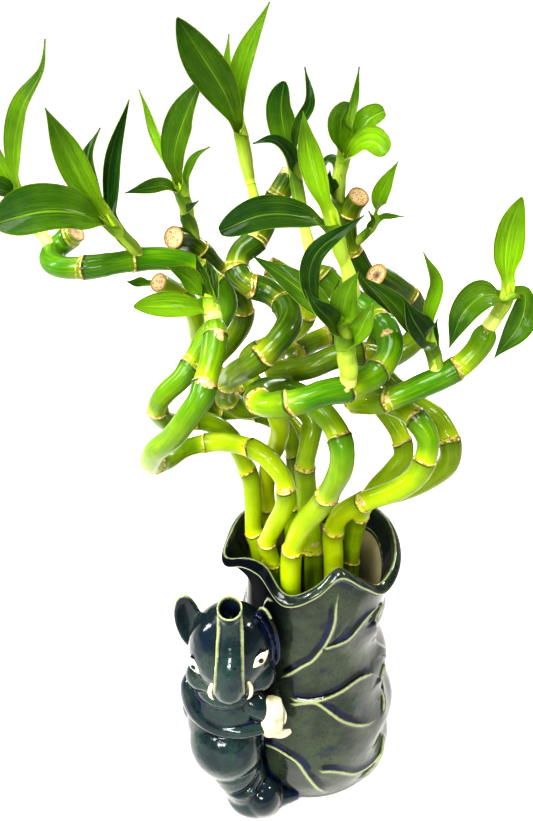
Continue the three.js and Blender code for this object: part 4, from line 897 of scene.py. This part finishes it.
# For each: the stem's radii at foot and top, its middle line, and the leaves. A leaf is its midrib, its
# width, the way its upper side faces and its tone from dark to bright, and where given belly and point.
SHOOTS = {
    "shoot_1": ([2.7, 1.8], [[-113, 0, 305], [-118, 4, 310], [-123, 8, 316], [-127, 8, 326]], [
        ([[-127, 8, 325], [-126, 6, 341], [-119, 2, 360], [-107, -4, 376], [-104, -6, 386]], 9.5, FRONT, 0.5,
         0.95, 1.3),
        ([[-127, 8, 325], [-132, 12, 333], [-136, 14, 343], [-136, 14, 356]], 7, FRONT, 0.52),
        ([[-126, 8, 322], [-130, 1, 330], [-136, -7, 332], [-142, -16, 327]], 11, FRONT, 0.2)]),
    "shoot_2": ([2.1, 1.7], [[-73, -14, 305], [-76, -20, 313], [-81, -24, 321], [-84, -26, 328]], [
        ([[-82, -24, 322], [-91, -34, 330], [-102, -44, 334], [-118, -52, 332]], 20, FRONT, 0.35, 1.6, 0.65),
        ([[-84, -26, 326], [-91, -26, 338], [-96, -28, 352], [-99, -36, 367]], 12, FRONT, 0.54),
        ([[-84, -25, 328], [-90, -18, 337], [-92, -12, 346], [-87, -8, 356]], 6, FRONT, 0.25),
        ([[-82, -24, 321], [-85, -16, 328], [-84, -8, 345], [-76, -2, 365]], 9, RIGHT, 0.05)]),
    "shoot_3": ([2.8, 2], [[-54, 5, 306], [-56, 2, 316], [-57, 0, 325], [-59, -2, 334]], [
        ([[-59, -2, 331], [-60, -4, 344], [-55, -8, 359], [-47, -16, 374]], 12.5, FRONT, 0.35, 1.15, 0.85),
        ([[-59, -2, 332], [-64, 2, 344], [-69, 6, 355], [-74, 10, 367]], 6, LEFT, 0.65),
        ([[-58, -1, 328], [-63, -8, 334], [-69, -14, 335], [-78, -18, 334]], 7, FRONT, 0.3),
        ([[-58, -1, 331], [-55, 4, 339], [-52, 6, 343], [-47, 8, 346]], 4, FRONT, 0.6),
        ([[-56, 1, 318], [-57, -4, 322], [-54, -8, 326], [-51, -10, 329]], 5, FRONT, 0.1)]),
    "shoot_4": ([3.4, 2.3], [[-43.7, -47.5, 293.5], [-44.5, -44, 297], [-45.5, -42.5, 300],
                             [-47, -43, 303]], [
        ([[-45, -43, 299], [-51, -50, 300.5], [-60, -58, 304], [-70, -64, 306.5]], 11, FRONT, 0.8, 1.15, 0.7),
        ([[-46, -43, 300], [-50, -42, 305], [-54, -44, 310], [-59, -50, 316]], 9, FRONT, 0.6),
        ([[-46, -43, 301], [-47, -40, 307], [-49, -38, 311], [-50, -38, 316]], 4, FRONT, 0.3),
        ([[-45, -42, 300], [-44, -38, 304], [-45, -34, 308], [-47, -32, 313]], 5, FRONT, 0.3)]),
    "shoot_5": ([2.6, 1.9], [[-30, -4, 309.5], [-28.5, -4, 325], [-31, -4, 338], [-34, -6, 355]], [
        ([[-34, -6, 353], [-35, -8, 367], [-31, -10, 382], [-23, -12, 398]], 8.5, FRONT, 0.64),
        ([[-34, -6, 352], [-39, -12, 368], [-46, -20, 381], [-53, -32, 394]], 15.5, [0, -1, -0.15],
         0.36, 1.4, 0.85),
        ([[-34, -5, 354], [-39, -2, 366], [-39, 2, 376], [-38, 4, 387]], 5, FRONT, 0.7)]),
    "shoot_6": ([2.6, 1.9], [[-3.5, -10, 300.5], [-7, -4, 311], [-10, -1, 324], [-14, -2, 344]], [
        ([[-14, -2, 342], [-17, -3, 353], [-18.5, -5, 363], [-17.5, -8, 372]], 12, [-0.2, -0.8, 0.4],
         0.35, 1.3, 0.6),
        ([[-14, -2, 342], [-12, -8, 356], [-8, -10, 365], [-10, -8, 377]], 5, FRONT, 0.2),
        ([[-12, -2, 334], [-16, -10, 347], [-22, -15, 353], [-29, -17, 352]], 7, FRONT, 0.1)]),
    "shoot_7": ([3.2, 2.4], [[12, -19, 290], [8, -23, 305], [3, -24, 318], [0, -24, 329]], [
        ([[0, -24, 325], [-5, -22, 338], [-9, -20, 352], [-11, -24, 364]], 10, FRONT, 0.78),
        ([[1, -24, 322], [-12, -32, 329], [-26, -40, 331.5], [-40.5, -46, 327.5]], 13.5, FRONT,
         0.22, 1.35, 0.5)]),
    "shoot_8": ([2.6, 1.8], [[10, 12, 311], [6, 9, 323], [6, 8, 334], [7, 6, 344]], [
        ([[7, 6, 342], [5, 4, 351], [5, 0, 358], [7, -5, 364]], 10.5, FRONT, 0.45, 1.25, 0.55),
        ([[7, 6, 342], [9, 10, 355], [11, 12, 364], [12, 12, 375]], 4, FRONT, 0.5),
        ([[7, 6, 341], [12, 12, 349], [17, 14, 355], [23, 12, 359]], 11, FRONT, 0.6, 1.6, 0.35),
        ([[7, 6, 339], [12, 2, 347], [17, -4, 350], [22, -9, 347]], 11.5, FRONT, 0.75, 1.6, 0.32),
        ([[6, 8, 333], [5, 15, 338], [2, 20, 338], [-2, 24, 332]], 5, FRONT, 0.2),
        ([[6, 9, 322], [3, 4, 329], [1, 0, 334], [1, -4, 339]], 7, FRONT, 0.15)]),
    "shoot_9": ([1.8, 1.2], [[12, 12, 303], [16, 10, 307], [20, 8, 312], [23, 6, 319]], [
        ([[22.5, 6, 317], [22, 2, 326], [24, -2, 334], [27, -6, 343]], 7.5, FRONT, 0.75),
        ([[20.5, 8, 313], [25, 12, 316], [30, 14, 316], [35, 14, 316]], 3, FRONT, 0.5),
        ([[18.5, 9, 310], [19, 4, 314], [20, 2, 318], [18, 0, 322]], 3, FRONT, 0.4)]),
    "shoot_10": ([3, 2.1], [[46, -34.5, 262.5], [45, -33, 269], [43, -31, 274], [41, -30, 279]], [
        ([[43, -31, 274], [37, -38, 284], [32, -42, 292], [28, -42, 300]], 13, FRONT, 0.05),
        ([[42, -30, 276], [31.2, -38, 289.4], [22, -42, 300.5], [10.8, -43, 309.9]], 9.5, FRONT, 0.3),
        ([[41, -30, 277], [41, -28, 287], [42, -28, 301], [35, -34, 316]], 6.5, FRONT, 0.7),
        ([[43.5, -31, 273], [45, -26, 277], [45, -24, 280], [46, -22, 284]], 3.5, FRONT, 0.2)]),
    "shoot_11": ([3, 2.1], [[63.8, -32, 283.5], [67, -31, 289], [70, -30, 295], [70, -30, 302]], [
        ([[70, -30, 300], [68, -28, 311], [68, -28, 323], [69, -32, 336]], 12.5, FRONT, 0.75, 1.0, 0.8),
        ([[70, -30, 297], [58, -40, 301], [49, -48, 297], [45, -50, 284]], 13, FRONT, 0.4),
        ([[70, -30, 298], [77.5, -28, 297], [77.5, -30, 286], [66, -40, 275]], 12, FRONT, 0.3)]),
    "shoot_12": ([3.3, 2.3], [[7, -55, 269.2], [6.5, -58, 278], [5, -58, 287], [3, -58, 299]], [
        ([[3.5, -58, 296], [3, -62, 305], [4, -64, 312], [7, -64, 319]], 11, FRONT, 0.55),
        ([[4, -58, 292], [2, -52, 299], [1, -50, 305], [2, -50, 311]], 5, FRONT, 0.5),
        ([[4, -58, 291], [-2, -66, 302], [-7, -70, 309], [-11, -70, 315]], 9, FRONT, 0.25),
        ([[5, -58, 288], [9, -62, 296], [11, -62, 301], [14, -60, 307]], 8.5, FRONT, 0.6),
        ([[3.5, -58, 294], [-5, -50, 301], [-17, -46, 310], [-29, -44, 318]], 11, FRONT, 0.35),
        ([[3, -58, 297], [-8, -62, 309], [-8, -68, 326], [7, -70, 340]], 7.4, FRONT, 0.2, 1.25)]),
    "shoot_13": ([1.7, 1.1], [[-66, 8.5, 286], [-70, 9, 287.5], [-74, 8, 289]], [
        ([[-73.5, 8, 288.8], [-77, 6, 288.6], [-80.5, 5, 289], [-84.5, 3.5, 290.5]], 6, FRONT, 0.3)]),
}
STEM_SIDES = 24
BLADE_COLUMNS = 15
BLADE_STEP = 1.15


def leaf_stripes(s):
    """A place on the leaf, drawn out along it, so that noise read there gives parallel veins."""
    return s.node("CombineXYZ", None,
                  {0: 30.0 * s.mark("across"), 1: 1.2 * s.mark("along"), 2: 9.0 * s.mark("tone")})


def leaf_colour(s):
    """Parallel veins over a green that runs from dark to bright by leaf, pale at the clasping foot."""
    across, along, tone = s.mark("across"), s.mark("along"), s.mark("tone")
    age = tone + 0.5 * s.specks(s.place(), 60, 4.0) - 0.25 - 0.3 * along
    veins = s.specks(leaf_stripes(s), 1.0, 2.0, 0.6)
    return layered(
        age.step(-0.08, 0.95).over(rgb("0c3204"), rgb("8cb80a")),
        (0.16 * veins.step(0.48, 0.72), rgb("a8cc24")),
        (0.3 * veins.step(0.5, 0.25), rgb("103806")),
        (0.25 * (1.0 - abs(across).step(0.0, 0.07)), rgb("b8dc50")),
        ((1.0 - along.step(-0.05, 0.3)) * (0.2 + 0.5 * tone), rgb("a8c414")),
        (0.85 * (1.0 - (along - 0.25 * tone).step(-0.2, 0.0)), rgb("c6dc50")),
        (0.3 * s.mark("under"), rgb("84b03a")),
        (0.3 * abs(across).step(0.93, 1.0), rgb("a8c040")))


leaf = finish(
    "leaf", leaf_colour,
    lambda s: 0.27 + 0.12 * s.specks(s.place(), 120, 3.0) + 0.2 * s.mark("under"),
    lambda s: s.specks(leaf_stripes(s), 1.0, 2.0), 0.0006,
    Specular_IOR_Level=0.16, Coat_Weight=0.12, Coat_Roughness=0.14, Subsurface_Weight=0.2, **SOFT_GREEN)


def stem_colour(s):
    """Pale yellow-green, creamy at the foot, with fine lines."""
    lines = streaks_along(s.mark("skin", "Vector"), 1400)
    return layered(s.mark("along").step(0.1, 0.7).over(rgb("dce47c"), rgb("a4cc1c")),
                   (0.3 * lines.step(0.4, 0.7), rgb("7cab14")))


stem_finish = finish(
    "stem", stem_colour, lambda s: 0.34 + 0.1 * s.specks(s.mark("skin", "Vector"), 200, 2.0),
    lambda s: s.specks(s.mark("skin", "Vector"), 500, 3.0), 0.0002,
    Specular_IOR_Level=0.2, Coat_Weight=0.12, Coat_Roughness=0.2, Subsurface_Weight=0.1, **SOFT_GREEN)


def unit(vectors):
    return vectors / np.linalg.norm(vectors, axis=-1, keepdims=True)


def blade(midrib, width, face, tone, rng, stem, wrap, belly=1.0, point=1.1):
    """A channelled, slightly waved leaf, closed round its edge. Its foot runs down the stem and wraps it.

    belly moves its widest place toward the tip. point is low for a blunt tip and high for a drawn-out one.
    """
    line, ahead, _ = spline(stem)
    nearest = int(np.argmin(np.linalg.norm(line - midrib[0], axis=1)))
    root = max(2, nearest - 1)
    axis = ahead[root]
    on_stem = [line[max(0, root - 10)], line[max(1, root - 5)], line[root]]
    path = on_stem + [np.array(p, float) for p in midrib[1:]]
    sheath = spline(on_stem)[2][-1]
    total = spline(path)[2][-1]
    blade_length = total - sheath
    blade_steps = np.linspace(sheath, total, int(blade_length / BLADE_STEP) + 14)
    steps = np.concatenate([np.linspace(0, sheath, 8)[:-1], blade_steps])
    line, ahead, _ = spline(path, steps / total)
    t = (steps - sheath) / blade_length
    foot = np.where(t < 0, 1, np.exp(-((t * blade_length / (4 + 0.07 * blade_length)) ** 2)))
    out = np.array(midrib[1], float) * 0.5 + np.array(midrib[2], float) * 0.5 - midrib[0]
    out = -(out - axis * out.dot(axis)) / np.linalg.norm(out)
    up = 2 * out * foot[:, None] ** 0.6 + np.array(face) * (0.25 + 0.75 * (1 - foot[:, None]))
    side = unit(np.cross(ahead, up))
    up = np.cross(side, ahead)
    twist = rng.uniform(-0.3, 0.3) * np.clip(t, 0, 1) ** 2
    side, up = (side * np.cos(twist)[:, None] + up * np.sin(twist)[:, None],
                up * np.cos(twist)[:, None] - side * np.sin(twist)[:, None])
    shape = np.clip(0.03 + 0.96 * np.clip(t, 0, 1), 0, 1) ** (1.02 * belly)
    half = width / 2 * np.sin(np.pi * shape) ** point * (1 - 0.5 * max(0, point - 0.7) * ease(0.6, 1, t))
    wrap = wrap * (1 - 0.28 * ease(-0.35 * sheath, -0.95 * sheath, t * blade_length))
    half = np.maximum(0.25, half * (1 - foot) + 2.5 * wrap * foot**1.7)
    bend = foot**0.7 / wrap + (1 - foot) * 0.75 / (0.5 * width)
    c = np.linspace(-1, 1, BLADE_COLUMNS)
    angle = np.maximum(bend * half, 1e-3)[:, None] * c
    wide = np.sin(angle) / bend[:, None]
    lift = (1 - np.cos(angle)) / bend[:, None] + 0.1 * half[:, None] * np.abs(c) * (1 - foot[:, None])
    phase, waves = rng.uniform(0, 6, 2), rng.uniform(6, 11)
    wave = 0.06 * width * np.sin(waves * t[:, None] + np.where(c < 0, phase[0], phase[1])) * np.abs(c) ** 2
    lift = lift + wave * (np.sin(np.pi * np.clip(t, 0, 1)) * (1 - foot))[:, None]
    line = line - (wrap * foot)[:, None] * up
    top = line[:, None] + wide[:, :, None] * side[:, None] + lift[:, :, None] * up[:, None]
    normal = np.sin(angle)[:, :, None] * -side[:, None] + np.cos(angle)[:, :, None] * up[:, None]
    below = top - (0.22 + 0.4 * (1 - np.abs(c) ** 2))[None, :, None] * normal
    rows, n = len(steps), BLADE_COLUMNS
    count = rows * n
    inner = grid_faces(rows, n, ring=False)
    border = [(j + 1, j) for j in range(n - 1)]
    border += [((i + 1) * n + n - 1, i * n + n - 1) for i in range(rows - 1)]
    border += [((rows - 1) * n + j, (rows - 1) * n + j + 1) for j in range(n - 1)]
    border += [(i * n, (i + 1) * n) for i in range(rows - 1)]
    rim = np.array([(a, b, b + count, a + count) for a, b in border])
    faces = np.vstack([inner[:, ::-1], inner + count, rim])
    along = np.where(t < 0, 0.2 * t * blade_length / sheath, t)
    marks = {"across": np.tile(c, 2 * rows), "along": np.tile(np.repeat(along, n), 2),
             "tone": np.full(2 * count, tone), "under": np.repeat([0.0, 1.0], count)}
    return np.vstack([top.reshape(-1, 3), below.reshape(-1, 3)]), faces, marks


def shoot(name, radii, stem, leaves, number):
    """A stem and its leaves as one piece. The leaves that start higher are wrapped closer to the stem."""
    rng = np.random.default_rng(100 + number)
    points, faces = limb(stem, [radii[0], radii[0], radii[1], radii[1], 0.15], STEM_SIDES)
    rings = len(points) // STEM_SIDES
    along = np.repeat(np.linspace(0, 1, rings), STEM_SIDES)
    turn = np.tile(turns(STEM_SIDES), rings)
    parts = [(points, faces)]
    marks = [{"across": 0 * along, "along": along, "tone": 0 * along, "under": 0 * along}]
    skin = [np.stack([radii[0] * np.cos(turn), radii[0] * np.sin(turn), 40 * along + 50 * number], -1) * MM]
    kinds = [np.ones(len(faces), int)]
    by_height = np.argsort([-row[0][0][2] for row in leaves])
    for layer, index in enumerate(by_height):
        midrib, width, face, tone, *belly = leaves[index]
        wrap = radii[1] * 1.05 + 0.16 * layer
        points, faces, blade_marks = blade(midrib, width, face, tone, rng, stem, wrap, *belly)
        parts.append((points, faces))
        marks.append(blade_marks)
        skin.append(np.zeros((len(points), 3)))
        kinds.append(np.zeros(len(faces), int))
    marks = {mark: np.concatenate([one[mark] for one in marks]) for mark in marks[0]}
    marks["skin"] = np.vstack(skin)
    piece(name, *gathered(parts), "leaf", [name], [leaf, stem_finish], marks, np.concatenate(kinds))


for number, (name, (radii, stem, leaves)) in enumerate(SHOOTS.items()):
    shoot(name, radii, stem, leaves, number)

# The floor is a plain white sheet behind and under the pot, on a greyer floor. The light is soft:
# two tall windows at the front left, a low one in front, small ones at the left, right and back,
# a ceiling light and a wide sun overhead. None of it is part of the object.
FLOOR_SIZE = 60
SHEET_EDGE_Y = -0.06
SHEET_HALF_WIDTH = 0.2


def floor_colour(s):
    """A white sheet that runs back from the pot and widens, with a greyer floor round it."""
    place = s.place()
    x, y = (s.node("SeparateXYZ", None, {0: place}, out) for out in (0, 1))
    sideways = abs(x + 0.024) - 0.34 * y
    white = s.specks(place, 3).over(rgb("eeebe6"), rgb("f2efea"))
    on_sheet = y.step(SHEET_EDGE_Y - 0.035, SHEET_EDGE_Y)
    on_sheet = on_sheet * (1.0 - sideways.step(SHEET_HALF_WIDTH, SHEET_HALF_WIDTH + 0.12))
    return on_sheet.over(rgb("a8a6a4"), white)


bpy.ops.mesh.primitive_plane_add(size=FLOOR_SIZE)
floor = bpy.context.object
floor.name = "floor"
floor.data.materials.append(finish("floor", floor_colour, 0.75))
# For each: place, the height on the pot's axis that it faces, width, height and power in watts.
WINDOWS = {
    "window_left": ((-1.08, 0.1, 0.62), 0.12, 0.1, 0.45, 6),
    "window_front": ((-0.72, -0.68, 0.97), 0.15, 0.24, 0.6, 12),
    "window_front_2": ((-0.5, -0.88, 0.97), 0.15, 0.24, 0.6, 12),
    "window_low": ((-0.12, -1.4, 0.62), 0.12, 0.5, 0.18, 10),
    "ceiling": ((-0.75, 0.4, 1.3), 0.15, 0.9, 0.7, 8),
    "window_right": ((0.95, 0.16, 0.85), 0.15, 0.18, 0.24, 5),
    "window_back": ((0.65, 1.0, 0.6), 0.15, 0.3, 0.3, 7),
}
for name, (place, aim, width, height, power) in WINDOWS.items():
    lamp = bpy.data.lights.new(name, "AREA")
    lamp.shape = "RECTANGLE"
    lamp.size = width
    lamp.size_y = height
    lamp.energy = power
    window = bpy.data.objects.new(name, lamp)
    window.location = place
    look = np.array([0, 0, aim]) - np.array(place)
    tilt = math.atan2(math.hypot(look[0], look[1]), -look[2])
    window.rotation_euler = (tilt, 0, math.atan2(look[0], -look[1]) + math.pi)
    bpy.context.scene.collection.objects.link(window)
sun = bpy.data.objects.new("overhead", bpy.data.lights.new("overhead", "SUN"))
sun.data.energy = 4.0
sun.data.angle = math.radians(26)
sun.rotation_euler = (math.radians(20), math.radians(-4), 0)
bpy.context.scene.collection.objects.link(sun)
world = bpy.data.worlds.new("daylight")
bpy.context.scene.world = world
world.use_nodes = True
sky = world.node_tree.nodes["Background"]
sky.inputs["Color"].default_value = (1.0, 1.0, 1.0, 1.0)
sky.inputs["Strength"].default_value = 0.16

# The camera stands in front and a little to the left, level with the plant's top, and looks 30
# degrees down, as the photograph's does.
IMAGE_SIZE = (533, 821)
FOCAL_PIXELS = 765
camera_data = bpy.data.cameras.new("camera")
camera_data.sensor_width = 36
camera_data.lens = 36 * FOCAL_PIXELS / max(IMAGE_SIZE)
camera = bpy.data.objects.new("camera", camera_data)
camera.location = (-0.024, -0.312, 0.408)
camera.rotation_euler = (math.radians(60), 0, 0)
bpy.context.scene.collection.objects.link(camera)
bpy.context.scene.camera = camera
bpy.context.scene.view_settings.view_transform = "Standard"
bpy.context.scene.view_settings.gamma = 0.8
